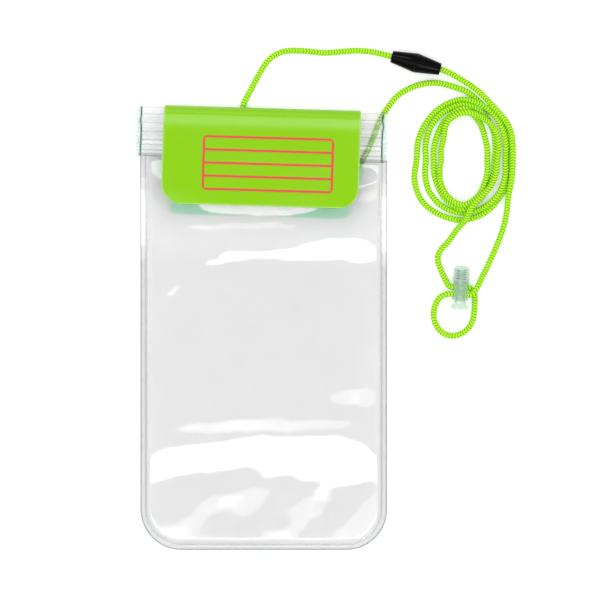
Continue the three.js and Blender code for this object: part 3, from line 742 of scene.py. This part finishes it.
def add_cords():
    """Both stretches of the cord, each with its line of ring centres."""
    material = cord_material()
    long_route = TUNNEL_ROUTE + coil_points() + TAIL_ROUTE
    cords = []
    for name, route, replaced in (
        ("cord_to_socket", CLASP_ROUTE[::-1], ["cord_pouch_run"]),
        ("cord_to_plug", long_route, ["cord_coil", "cord_lock_run", "cord_clasp_run"]),
    ):
        points = [(*point, LYING)[:3] for point in route]
        line = spaced(laid_down(smooth_line(points, ROUTE_STEP), ROUTE_STEP), RING_STEP)
        cord = add_cord(name, line)
        dress(cord, material, "cord", *replaced)
        cords.append((cord, line))
    return cords


# Bag of clear film


def film_top_edge(x):
    lap = -(BAND_HEIGHT - BAND_LAP)
    return HEAD_Y + (lap - (x - HEAD_X) * np.sin(HEAD_TILT)) / np.cos(HEAD_TILT)


def body_half_width(height):
    inside = np.maximum(CORNER_RADIUS - height, 0)
    return BODY_WIDTH / 2 - CORNER_RADIUS + np.sqrt(np.maximum(CORNER_RADIUS**2 - inside**2, 0))


def bag_grid(step_x, step_y):
    """Places of the bag's points: x, y and the distances from its side and its lower edge."""
    columns = both_ways(steps(EDGE_STEPS, step_x, BODY_WIDTH / 2))
    height = film_top_edge(BODY_X) - BODY_BOTTOM
    up = np.array(steps(EDGE_STEPS, step_y, height))
    half_widths = body_half_width(up)
    x = BODY_X + columns[None, :] * half_widths[:, None]
    share = up / height
    y = BODY_BOTTOM + share[:, None] * (film_top_edge(x) - BODY_BOTTOM)
    from_side = half_widths[:, None] - np.abs(x - BODY_X)
    return x, y, from_side, np.broadcast_to(up[:, None], x.shape)


def back_film_level(v):
    return BACK_LAP * smooth((v - RISE_START) / (RISE_END - RISE_START))


def inside_outline(outline, x, y):
    """1 where a point is inside an outline."""
    inside = np.zeros(x.shape, bool)
    for (ax, ay), (bx, by) in zip(outline, outline[1:] + outline[:1]):
        crosses = (ay > y) != (by > y)
        with np.errstate(divide="ignore", invalid="ignore"):
            inside ^= crosses & (x < (bx - ax) * (y - ay) / (by - ay) + ax)
    return inside.astype(float)


def blurred(field, reach, axis):
    """Smooths a field along one axis, by a bell a few cells wide."""
    half = int(math.ceil(3 * reach))
    weights = np.exp(-0.5 * (np.arange(-half, half + 1) / reach) ** 2)
    weights /= weights.sum()
    edges = [(0, 0), (0, 0)]
    edges[axis] = (half, half)
    wide = np.pad(field, edges, mode="edge")
    return np.apply_along_axis(lambda line: np.convolve(line, weights, mode="valid"), axis, wide)


def mirror_slope(y):
    """How steeply the film must dip at y for the camera to see the low soft box in it."""
    (_, box_y, box_z), _, _ = SOFTBOXES["low_softbox"]
    to_box = (y * MM - box_y) / box_z
    to_camera = (VIEW_MIDDLE[1] - y) / CAMERA_HEIGHT
    return (to_box - to_camera) / 2


def crease_dips():
    """A grid over the bag, and how steeply the front film dips towards the bottom at each point."""
    x = np.arange(*FIELD_SIDES, FIELD_STEP)
    y = np.arange(BODY_BOTTOM, FIELD_TOP, FIELD_STEP)
    gx, gy = np.meshgrid(x, y)
    sway = CREASE_SWAY * wavy(gx, gy, 3, 7), CREASE_SWAY * wavy(gx, gy, 4, 6)
    soft = CREASE_SOFTNESS / FIELD_STEP
    dips = np.zeros(gx.shape)
    for outline, depth in zip(CREASES, CREASE_DEPTHS):
        mask = blurred(blurred(inside_outline(outline, gx + sway[0], gy + sway[1]), soft, 0), soft, 1)
        dips = np.maximum(dips, depth * np.clip(CREASE_GAIN * mask, 0, 1))
    return x, y, dips * mirror_slope(gy)


def crease_relief():
    """The creases' heights over the grid: the ones whose slopes come nearest to the wanted dips."""
    x, y, dips = crease_dips()
    wide = np.zeros((FIELD_ROWS, FIELD_WIDTH))
    wide[: len(y), : len(x)] = dips
    ky = 2 * np.pi * np.fft.fftfreq(FIELD_ROWS, FIELD_STEP)[:, None]
    kx = 2 * np.pi * np.fft.fftfreq(FIELD_WIDTH, FIELD_STEP)[None, :]
    size = ky**2 + (CREASE_STIFFNESS * kx) ** 2
    size[0, 0] = 1
    height = np.fft.ifft2(-1j * ky * np.fft.fft2(wide) / size).real
    return x, y, height[: len(y), : len(x)]


def sampled(field, xs, ys, x, y):
    """Values of a field at points between its grid's."""
    i = np.clip((y - ys[0]) / FIELD_STEP, 0, len(ys) - 1.001)
    j = np.clip((x - xs[0]) / FIELD_STEP, 0, len(xs) - 1.001)
    i0, j0 = i.astype(int), j.astype(int)
    fi, fj = i - i0, j - j0
    low = field[i0, j0] * (1 - fj) + field[i0, j0 + 1] * fj
    high = field[i0 + 1, j0] * (1 - fj) + field[i0 + 1, j0 + 1] * fj
    return low * (1 - fi) + high * fi


def weld_marks(from_edge):
    """Fine ridges of the weld round the bag: its bead and its lip."""
    return [bell((from_edge - place) / width) for place, width in (WELD_BEAD, WELD_LIP)]


def flap_distance(u, v, wider=0.0, longer=0.0):
    """Distance of a point outside the flap's outline, or a larger one like it."""
    corner = FLAP_CORNER + wider
    across = np.abs(u) - (FLAP_WIDTH / 2 + wider - corner)
    down = -(FLAP_LENGTH + longer - corner) - v
    beside = np.hypot(np.maximum(across, 0), np.maximum(down, 0))
    return np.where((across > 0) | (down > 0), beside, np.maximum(across, down)) - corner


def painted_flap_reflection_and_shadow(x, y):
    """Painted reflection of the flap's green on the film beside it, and painted shadow where the flap shades
    it.
    """
    u, v = head_uv(x, y)
    near = smooth((0.5 - flap_distance(u, v, PAINTED_REFLECTION_WIDER, PAINTED_REFLECTION_LONGER)) / 0.8)
    below = smooth((-v - 36) / 4) * smooth((40 - np.abs(u)) / 5)
    beside = 0.7 * smooth((v + 30) / 4) * smooth((-BAND_HEIGHT - v) / 1.5)
    crescent = inside_outline(CREASES[CRESCENT], x, y + 0.4)
    mint = near * np.maximum(below, beside) * (1 - crescent)
    shade = np.exp(-np.maximum(flap_distance(u, v), 0) / PAINTED_SHADOW_REACH)
    return mint, shade


def edge_distance(x, from_side, up):
    """Distance from the bag's edge, round its lower corners too."""
    across = np.maximum(np.abs(x - BODY_X) - (BODY_WIDTH / 2 - CORNER_RADIUS), 0)
    round_edge = CORNER_RADIUS - np.hypot(across, np.maximum(CORNER_RADIUS - up, 0))
    in_corner = (up < CORNER_RADIUS) & (across > 0)
    return np.maximum(np.where(in_corner, round_edge, np.minimum(from_side, up)), 0)


def add_front_film():
    """The front film: its rise from the rim and towards the band, and its creases."""
    x, y, from_side, up = bag_grid(*FRONT_STEPS)
    _, v = head_uv(x, y)
    from_edge = edge_distance(x, from_side, up)
    xs, ys, relief = crease_relief()
    creased = sampled(relief, xs, ys, x, y)
    beside = 1 - (1 - np.clip((from_side - RIM) / SIDE_RISE, 0, 1)) ** 2
    rim = 1 - np.exp(-((np.maximum(from_edge - RIM, 0) / RIM_REACH) ** 1.5))
    full = 1 - np.exp(-np.maximum(up - RIM, 0) / SWELL_REACH)
    slow = (SWELL * beside + SLOW_WAVE * wavy(x, y, 11, 30)) * full
    high = TOP_RISE * (up / TOP_REACH) ** 2
    swell = FILM + RIM_RISE * rim + slow + high + creased
    near_band = smooth((v + BAND_HEIGHT + LAP_REACH) / LAP_REACH)
    seam = back_film_level(v) + FILM + GAP
    ceiling = swell + (FRONT_LAP_TOP - FILM - swell) * near_band
    front = seam + np.maximum(ceiling - seam, 0) * rim
    ridge = 0.1 * weld_marks(from_edge)[0] - 0.12 * bell(from_edge / 0.1)
    upper = np.stack([x, y, front + FILM + ridge], axis=-1)
    lower = np.stack([x, y, front], axis=-1)
    piece = add_film("film_front", upper, lower, from_edge, "front_panel", FILM_IOR)
    mint, shade = painted_flap_reflection_and_shadow(x, y)
    # mint is a painted reflection of the flap's green, and shade is a painted shadow of the flap
    set_sheet_values(piece, mint=mint, shade=shade)


def add_back_film():
    x, y, from_side, up = bag_grid(*BACK_STEPS)
    back = back_film_level(head_uv(x, y)[1])
    upper = np.stack([x, y, back + FILM], axis=-1)
    lower = np.stack([x, y, back], axis=-1)
    add_film("film_back", upper, lower, edge_distance(x, from_side, up), "back_panel", UNDER_IOR)


def add_film(name, upper, lower, from_edge, node, ior):
    piece = add_mesh(name, *sheet_solid(upper, lower))
    bead, lip = weld_marks(from_edge)
    set_sheet_values(piece, weld=bead + 0.8 * lip, cut_edge=bell(from_edge / CUT_EDGE))
    dress(piece, film_material(ior), "film", node)
    return piece


def clear_sheet(material, tint, milk, haze, rough, fine, ior=FILM_IOR):
    """A thin clear sheet: tinted where light goes through, glossy, and a little milky."""
    tree = material.node_tree
    through = make(tree, "BsdfTransparent", {"Color": tint})
    gloss = make(tree, "BsdfGlossy", {"Color": grey(1), "Roughness": rough, "Normal": fine})
    facing = make(tree, "Fresnel", {"IOR": ior, "Normal": fine}).outputs[0]
    mirrored = maths(tree, "MINIMUM", facing, SHEET_MIRROR)
    skin = make(tree, "MixShader", {0: mirrored, 1: through.outputs[0], 2: gloss.outputs[0]})
    milky = make(tree, "BsdfDiffuse", {"Color": milk})
    mixed = make(tree, "MixShader", {0: haze, 1: skin.outputs[0], 2: milky.outputs[0]})
    return finish_material(material, mixed.outputs[0])


def film_material(ior):
    material, tree = new_material("clear_film")
    cloud = noise(tree, 35)
    weld = point_value(tree, "weld")
    clear = blend_colour(tree, cloud, grey(0.976), grey(0.983))
    # Painted shadow of the flap, then a painted reflection of its green, in the film's tint
    painted_shadow_colour = blend_colour(tree, point_value(tree, "shade"), clear, grey(0.87))
    green = blend_colour(tree, point_value(tree, "mint"), painted_shadow_colour, (0.7, 0.9, 0.79, 1))
    welded = blend_colour(tree, weld, green, (0.9, 0.905, 0.905, 1))
    tinted = blend_colour(tree, point_value(tree, "cut_edge"), welded, (0.7, 0.75, 0.74, 1))
    rough = spread_over(tree, noise(tree, 160, 4.0), 0.04, 0.09, 0.35, 0.7)
    fine = bump(tree, noise(tree, 90, 2.0), 0.0002, 0.05)
    milk = spread_over(tree, cloud, 0.01, 0.03, 0.4, 0.8)
    haze = maths(tree, "ADD", maths(tree, "MULTIPLY", weld, 0.12), milk, clamp=True)
    return clear_sheet(material, tinted, rgb(238, 239, 239), haze, rough, fine, ior)


# Press-zip band


def band_section(front):
    """The strip's section: distances below the top edge, levels of both faces, and how near a line is."""
    down, bulge, line = [], [], []
    for k, (a, b, (first, last)) in enumerate(zip(BAND_LINES, BAND_LINES[1:], RIB_DIPS)):
        t = np.linspace(0, 1, 11)[:-1]
        rise = -(b - a) * (first * t + (last - first) * t**2 / 2)
        near_a = LINE_STRENGTH[k] * bell(t * (b - a) / LINE_HALF)
        near_b = LINE_STRENGTH[k + 1] * bell((1 - t) * (b - a) / LINE_HALF)
        down += list(a + (b - a) * t)
        bulge += list(rise - rise.mean())
        line += list(np.maximum(near_a, near_b))
    down = np.array([*down, BAND_HEIGHT])
    bulge = np.array([*bulge, 0])
    line = np.array([*line, 1])
    low, high = FRONT_BAND if front else BACK_BAND
    drop = LIP_DROP * (1 - np.clip(down / LIP, 0, 1)) if front else 0 * down
    rib = np.zeros(len(down))
    for place in [p for pair in PRESS_RIBS for p in pair]:
        rib = np.maximum(rib, np.exp(-(((down - place) / PRESS_RIB_HALF) ** 4)))
    if front:
        return down, high - drop + bulge - GROOVE * line, low - drop - FRONT_RIB * rib, line
    return down, high + BACK_RIB * rib, low - 0 * down, line


def add_zip_strip(name, node, front, ior):
    """One strip of the band, with its ends pressed flat."""
    down, high, low, line = band_section(front)
    half = BAND_WIDTH / 2
    u = half * both_ways(steps(END_STEPS, 3.5, half))
    from_end = half - np.abs(u)
    crushed = 1 - smooth((from_end - CRUSHED_END) / 1.4)
    meet = BAND_MIDDLE + (GAP if front else -GAP)
    flat_high = meet + (BAND_SHEET if front else 0)
    flat_low = meet - (0 if front else BAND_SHEET)
    uu, dd = np.meshgrid(u, down)
    ragged = 0.18 * wavy(dd, 0 * dd, 21, 4) * crushed[None, :]
    c = np.clip(crushed[None, :] * (0.86 + 0.14 * wavy(dd, uu, 5, 5)), 0, 1)
    top = high[:, None] * (1 - c) + flat_high * c
    bottom = low[:, None] * (1 - c) + flat_low * c
    out = uu + np.sign(uu) * ragged * (from_end < 0.5)
    piece = add_mesh(name, *sheet_solid(*[head_place(out, -dd, z)[::-1] for z in (top, bottom)]))
    place, width = TEAL_LINE
    teal = bell((from_end - place + 0.15 * wavy(dd, 0 * dd, 8, 6)) / width)
    place, width = MINT_EDGE
    mint = np.broadcast_to(bell((from_end - place) / width), teal.shape)
    set_sheet_values(piece, weld=(line[:, None] * (1 - c))[::-1], teal=teal[::-1], mint=mint)
    dress(piece, band_material(ior), "zip_band", node)


def band_material(ior):
    material, tree = new_material("ribbed_band")
    cloud = noise(tree, 60, 3.0, (1, 6, 6))
    teal = point_value(tree, "teal")
    mint = maths(tree, "MULTIPLY", point_value(tree, "mint"), 0.35)
    clear = blend_colour(tree, cloud, grey(0.997), grey(1))
    minted = blend_colour(tree, mint, clear, (0.78, 0.92, 0.86, 1))
    lined = blend_colour(tree, point_value(tree, "weld"), minted, (0.86, 0.865, 0.865, 1))
    dark = blend_colour(tree, teal, lined, (0.1, 0.3, 0.24, 1))
    milk = blend_colour(tree, teal, rgb(250, 252, 251), rgb(60, 106, 92))
    haze = spread_over(tree, cloud, 0.03, 0.07, 0.3, 0.8)
    rough = spread_over(tree, cloud, 0.05, 0.1)
    return clear_sheet(material, dark, milk, haze, rough, bump(tree, cloud, 0.0002, 0.06), ior)


def add_band():
    add_zip_strip("zip_strip_front", "front_zip_strip", True, FILM_IOR)
    add_zip_strip("zip_strip_back", "back_zip_strip", False, UNDER_IOR)


# Flap


def flap_line():
    """The flap's middle line, as v and z, from the weld at the back, round the fold and down the front."""
    half = FLAP_SHEET / 2
    fold_top = FLAP_TOP - FOLD_DROP
    fold_radius = fold_top / 2 - half
    fold_v = FLAP_OVERHANG - fold_top / 2
    weld_top = -FLAP_LENGTH + WELD_LENGTH
    line = [(v, back_film_level(v) - half - GAP) for v in np.linspace(-FLAP_LENGTH, weld_top, 6)]
    line += [(v, half) for v in np.linspace(weld_top + STRAP_SLOPE, fold_v - 0.5, 34)]
    for turn in np.linspace(0, np.pi - 2 * FOLD_DROP / FOLD_REACH, 25):
        line.append((fold_v + fold_radius * np.sin(turn), fold_top / 2 - fold_radius * np.cos(turn)))
    front = steps([0, 0.05, 0.15, 0.3, 0.55, 0.9, 1.4], 0.8, FLAP_LENGTH + fold_v - 0.4)[::-1]
    for d in front:
        v = -FLAP_LENGTH + d
        near_fold = np.clip((v - fold_v) / FOLD_REACH + 1, 0, 1)
        line.append((v, FLAP_TOP - half - FOLD_DROP * near_fold**2))
    return np.array(line)


def flap_wave(u, v):
    """The front layer's slight waves, none at the fold."""
    free = smooth((-v - 6) / 20)
    return free * (0.1 * wavy(u, v, 31, 38, 5) + 0.25 * smooth((-v - 34) / 8) * (0.4 + 0.3 * np.sin(u / 9)))


def flap_half_width(v):
    inside = np.maximum(FLAP_CORNER - (v + FLAP_LENGTH), 0)
    return FLAP_WIDTH / 2 - FLAP_CORNER + np.sqrt(np.maximum(FLAP_CORNER**2 - inside**2, 0))


def add_flap():
    """The folded sheet, with rounded edges, slight waves, the cord's hole and a painted highlight along its
    edges.
    """
    line = flap_line()
    v, z = line[:, 0], line[:, 1]
    along = np.gradient(line, axis=0)
    along /= np.linalg.norm(along, axis=1)[:, None]
    columns = both_ways(steps([0, 0.05, 0.15, 0.3, 0.6, 1.0], 0.8, FLAP_WIDTH / 2))
    widths = flap_half_width(v)
    pull = FOLD_PULL * smooth(v / FOLD_PULL_REACH + 1) + FOLD_CORNER * np.clip(v / FLAP_OVERHANG, 0, 1) ** 2
    u = columns[None, :] * widths[:, None] + (pull[:, None] * (1 - columns) / 2)
    vv = np.broadcast_to(v[:, None], u.shape)
    row = np.arange(len(v))[:, None]
    wave = np.where(row > len(v) - len(v) // 2, flap_wave(u, vv), 0)
    from_side = (1 - np.abs(columns)) * widths[:, None]
    from_edge = np.minimum(from_side, np.where(row > FLAP_FOLD_ROWS, vv + FLAP_LENGTH, 9))
    inside = 1 - np.clip(from_edge / FLAP_ROUNDING, 0, 1)
    thin = FLAP_SHEET / 2 * (1 - np.sqrt(np.clip(1 - inside**2, 0, 1)))
    sides = []
    for side in (-1, 1):
        out = side * (FLAP_SHEET / 2 - thin)
        sides.append(head_place(u, vv - along[:, 1:] * out, z[:, None] + along[:, :1] * out + wave))
    flap = add_mesh("flap_sheet", *sheet_solid(*sides))
    # Painted highlight: a lighter green along the flap's edges, where they would catch the light
    set_sheet_values(flap, rim=bell(from_edge / FLAP_EDGE_HIGHLIGHT))
    cut_hole(flap)
    dress(flap, flap_material(), "flap", "flap")


def cut_hole(flap):
    """The round hole at the fold that the cord comes out of."""
    model = bmesh.new()
    radius = HOLE_RADIUS * MM
    lying = Matrix.Rotation(math.pi / 2, 4, "X")
    bmesh.ops.create_cone(model, segments=32, radius1=radius, radius2=radius, depth=HOLE_DEPTH * MM,
                          cap_ends=True, matrix=lying)
    cut_away(flap, model, head_place(HOLE_U, 0, HOLE_LEVEL).tolist())


def flap_material():
    material, tree = new_material("green_sheet")
    base = blend_colour(tree, noise(tree, 22), rgb(136, 206, 0), rgb(147, 212, 2))
    # Painted highlight along the flap's edges, in a lighter green
    rim = maths(tree, "MULTIPLY", point_value(tree, "rim"), 0.8)
    colour = blend_colour(tree, rim, base, rgb(186, 240, 120))
    grain = noise(tree, 700, 2.0)
    rough = spread_over(tree, grain, 0.13, 0.19)
    dimples = maths(tree, "ADD", noise(tree, 60, 2.0), maths(tree, "MULTIPLY", grain, 0.1))
    normal = bump(tree, dimples, 0.0002, 0.04)
    return finish_opaque(material, Base_Color=colour, Roughness=rough, IOR=1.5, Normal=normal)


def add_print():
    """The printed panel: the CAD frame's own mesh, divided finely and laid on the waves of the flap."""
    panel = nodes["flap_print"]
    mesh = panel.data.copy()
    model = bmesh.new()
    model.from_mesh(mesh)
    bmesh.ops.remove_doubles(model, verts=model.verts, dist=1e-6)
    for _ in range(6):
        long = [edge for edge in model.edges if edge.calc_length() > PRINT_STEP * MM]
        if not long:
            break
        bmesh.ops.subdivide_edges(model, edges=long, cuts=1, use_grid_fill=False)
    for vertex in model.verts:
        u, v = head_uv(vertex.co.x / MM, vertex.co.y / MM)
        raised = PRINT_TOP if vertex.co.z / MM > FLAP_TOP + PRINT_TOP else PRINT_UNDER
        vertex.co.z = (FLAP_TOP + float(flap_wave(u, v)) + raised) * MM
    model.to_mesh(mesh)
    model.free()
    piece = put_in_scene(bpy.data.objects.new("printed_panel", mesh))
    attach(piece, "pouch")
    dress(piece, print_material(), "print", "flap_print")


def print_material():
    material, tree = new_material("red_print")
    patchy = noise(tree, 900)
    ink = blend_colour(tree, spread_over(tree, patchy, 0, 1, 0.3, 0.75), rgb(232, 60, 62), rgb(222, 84, 58))
    rough = spread_over(tree, patchy, 0.35, 0.5)
    return finish_opaque(material, Base_Color=ink, Roughness=rough, Normal=bump(tree, patchy, 0.00003, 0.3))


# Hook and loop patches, and the stops on the cord's ends


def fibre_material(name, dark, light, scale):
    material, tree = new_material(name)
    fibres = noise(tree, scale, 4.0)
    colour = blend_colour(tree, spread_over(tree, fibres, 0, 1), dark, light)
    rough = spread_over(tree, fibres, 0.7, 0.95)
    normal = bump(tree, fibres, 0.0003, 0.8)
    return finish_opaque(material, Base_Color=colour, Roughness=rough, Sheen_Weight=0.4, Normal=normal)


def metal_material(name, dark, light, metallic, side=None):
    """Drawn wire; a side colour, where given, is painted shade where the wire turns to the side."""
    material, tree = new_material(name)
    drawn = noise(tree, 500, 3.0, (1, 8, 1))
    colour = blend_colour(tree, drawn, dark, light)
    if side:
        # Painted shade where the wire turns to the side
        colour = blend_colour(tree, point_value(tree, "side"), colour, side)
    rough = spread_over(tree, drawn, 0.16, 0.26)
    normal = bump(tree, drawn, 0.00003, 0.3)
    return finish_opaque(material, Base_Color=colour, Metallic=metallic, Roughness=rough, Normal=normal)


# Clasp


def lathe(name, profile, sides, place, turn, body="pouch", axis="X"):
    """A round piece from radii and distances along its axis, which runs along X or Y."""
    profile = np.asarray(profile, float)
    angle = np.arange(sides) / sides * 2 * np.pi
    r, d = profile[:, :1], profile[:, 1:]
    a = np.broadcast_to(d, (len(profile), sides))
    b, c = r * np.cos(angle)[None, :], r * np.sin(angle)[None, :]
    local = np.stack([a, b, c] if axis == "X" else [b, a, c], axis=-1)
    x, y = turned(local[..., 0], local[..., 1], math.radians(turn))
    points = np.stack([x, y, local[..., 2]], axis=-1) + place
    faces = grid_faces(len(profile), sides, close=True, flip=axis != "X")
    piece = add_mesh(name, points.reshape(-1, 3), faces, body)
    model = bmesh.new()
    model.from_mesh(piece.data)
    bmesh.ops.remove_doubles(model, verts=model.verts, dist=2e-6)
    if not np.allclose(profile[0], profile[-1]):
        bmesh.ops.holes_fill(model, edges=[e for e in model.edges if e.is_boundary])
    bmesh.ops.recalc_face_normals(model, faces=model.faces)
    model.to_mesh(piece.data)
    model.free()
    return piece


def rounded(profile, radius, points=5):
    """A profile with its corners rounded."""
    profile = [np.array(p, float) for p in profile]
    result = [profile[0]]
    for a, b, c in zip(profile, profile[1:], profile[2:]):
        before = np.linalg.norm(a - b)
        after = np.linalg.norm(c - b)
        reach = min(radius, 0.4 * before, 0.4 * after)
        start = b + (a - b) / max(before, 1e-9) * reach
        end = b + (c - b) / max(after, 1e-9) * reach
        for t in np.linspace(0, 1, points):
            result.append((1 - t) ** 2 * start + 2 * t * (1 - t) * b + t**2 * end)
    result.append(profile[-1])
    return result


def add_clasp():
    """Both halves of the clasp: the plug's bulb sits in the socket."""
    socket = [
        (CORD_HOLE, -CLASP_HALF), (CLASP_END_RADIUS, -CLASP_HALF), (CLASP_RADIUS, -0.4),
        (CLASP_RADIUS, -2 * CLASP_JOINT), (CLASP_FACE, -CLASP_JOINT), (1.9, -CLASP_JOINT), (1.9, -2.4),
        (2.45, -2.4), (2.45, -3.6), (2.3, -4.6), (2.3, -7.8), (CORD_HOLE, -7.8), (CORD_HOLE, -CLASP_HALF),
    ]
    plug = [
        (0, -4.2), (1.25, -4.2), (2.15, -3.4), (2.15, -2.9), (1.6, -2.3), (1.6, CLASP_JOINT),
        (CLASP_FACE, CLASP_JOINT), (CLASP_RADIUS, 2 * CLASP_JOINT), (CLASP_RADIUS, 0.4),
        (CLASP_END_RADIUS, CLASP_HALF), (CORD_HOLE, CLASP_HALF), (CORD_HOLE, 7.8), (2.3, 7.8), (2.3, 4.6),
        (0, 4.6),
    ]
    material = clasp_material()
    made = []
    for half, profile in (("socket", socket), ("plug", plug)):
        piece = lathe(f"clasp_{half}_half", rounded(profile, 0.25), 64, CLASP_PLACE, CLASP_TURN)
        piece.data.shade_smooth()
        dress(piece, material, "clasp", f"clasp_{half}")
        made.append(piece)
    return made


def clasp_material():
    material, tree = new_material("black_plastic")
    grain = noise(tree, 800)
    colour = blend_colour(tree, grain, rgb(1, 1, 1), rgb(5, 5, 6))
    rough = spread_over(tree, grain, 0.08, 0.12)
    normal = bump(tree, grain, 0.00003, 0.2)
    return finish_opaque(material, Base_Color=colour, Roughness=rough, Specular_IOR_Level=0.08, Normal=normal)


# Cord lock


def cut_slot(piece, top, bottom):
    """The way for the cord's two passes, through a part of the lock from side to side."""
    model = bmesh.new()
    bmesh.ops.create_cube(model, size=1)
    size = (SLOT_WIDTH * MM, (bottom - top) * MM, 2 * SLOT_HALF_HEIGHT * MM)
    bmesh.ops.scale(model, vec=size, verts=model.verts)
    rails = [e for e in model.edges if abs((e.verts[0].co - e.verts[1].co).x) > MM]
    bmesh.ops.bevel(model, geom=rails, offset=SLOT_ROUNDING * MM, segments=6, affect="EDGES", profile=0.5)
    bmesh.ops.translate(model, vec=(0, -(top + bottom) / 2 * MM, 0), verts=model.verts)
    cut_away(piece, model, LOCK_PLACE, LOCK_TURN)


def add_lock():
    """The cord lock: its barrel, its plunger and the spring between them."""
    barrel = [
        (0, -1.2), (BORE_RADIUS, -1.2), (BORE_RADIUS, -BARREL_LENGTH), (BARREL_RADIUS, -BARREL_LENGTH),
        (BARREL_RADIUS, -1.6), (3.1, -0.6), (2.2, 0), (0, 0),
    ]
    top, bottom, radius = FLANGE
    plunger = [
        (0, -bottom), (radius - 0.4, -bottom), (radius, -bottom + 0.4), (radius, -top), (PLUNGER_RADIUS, -top),
        (PLUNGER_RADIUS, -PLUNGER_TOP), (0, -PLUNGER_TOP),
    ]
    material = lock_material()
    shell = lathe("lock_barrel_shell", rounded(barrel, 0.25), 56, LOCK_PLACE, LOCK_TURN, axis="Y")
    stem = lathe("lock_plunger_stem", rounded(plunger, 0.2), 56, LOCK_PLACE, LOCK_TURN, "plunger", "Y")
    cut_slot(shell, SLOT_TOP, SLOT_BOTTOM)
    cut_slot(stem, SLOT_TOP, SLOT_BOTTOM + TRAVEL)
    dress(shell, material, "lock", "lock_barrel")
    dress(stem, material, "lock", "lock_plunger")
    return [shell, stem, add_spring()]


def add_spring():
    """The coil spring, which the plunger presses together."""
    start, end = SPRING_ENDS
    turns = np.linspace(0, SPRING_TURNS, SPRING_TURNS * 40 + 1)
    x = SPRING_RADIUS * np.cos(2 * np.pi * turns)
    y = -(start + (end - start) * turns / SPRING_TURNS)
    z = SPRING_RADIUS * np.sin(2 * np.pi * turns)
    t = math.radians(LOCK_TURN)
    line = np.stack([*turned(x, y, t), z], axis=1) + LOCK_PLACE
    points, faces = tube(line, SPRING_WIRE, SPRING_SIDES)
    spring = add_mesh("lock_spring_coil", points, faces)
    # Painted shade at the sides of each turn, with the light steel colour as a painted highlight along its
    # middle
    set_point_values(spring, "side", np.repeat(np.abs(np.cos(2 * np.pi * turns)), SPRING_SIDES))
    bright = metal_material("spring_steel_painted_shade_and_highlight", rgb(214, 224, 220), rgb(240, 246, 244), 0.4, rgb(34, 52, 48))
    dress(spring, bright, "steel", "lock_spring")
    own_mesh(spring)
    return spring


def lock_material():
    material, tree = new_material("pale_lock_plastic")
    cloud = noise(tree, 260)
    tint = blend_colour(tree, cloud, (0.93, 0.975, 0.95, 1), (0.96, 0.99, 0.975, 1))
    milk = blend_colour(tree, cloud, rgb(190, 226, 204), rgb(212, 240, 222))
    haze = spread_over(tree, cloud, 0.12, 0.2)
    rough = spread_over(tree, cloud, 0.06, 0.14)
    return clear_sheet(material, tint, milk, haze, rough, bump(tree, cloud, 0.0001, 0.2))


add_camera()
add_world()
add_lights()
add_floor()
cords = add_cords()
add_front_film()
add_back_film()
add_band()
add_flap()
add_print()
clasp = add_clasp()
lock = add_lock()
give(nodes["loop_patch"], fibre_material("loop_tape", rgb(196, 200, 198), rgb(232, 234, 232), 1800))
give(nodes["hook_patch"], fibre_material("hook_tape", rgb(14, 14, 15), rgb(48, 48, 50), 1500))
for stop in ("cord_stop_socket", "cord_stop_plug"):
    give(nodes[stop], metal_material("drawn_steel", rgb(84, 104, 98), rgb(120, 138, 132), 1.0))

bpy.context.scene.view_settings.view_transform = "Standard"
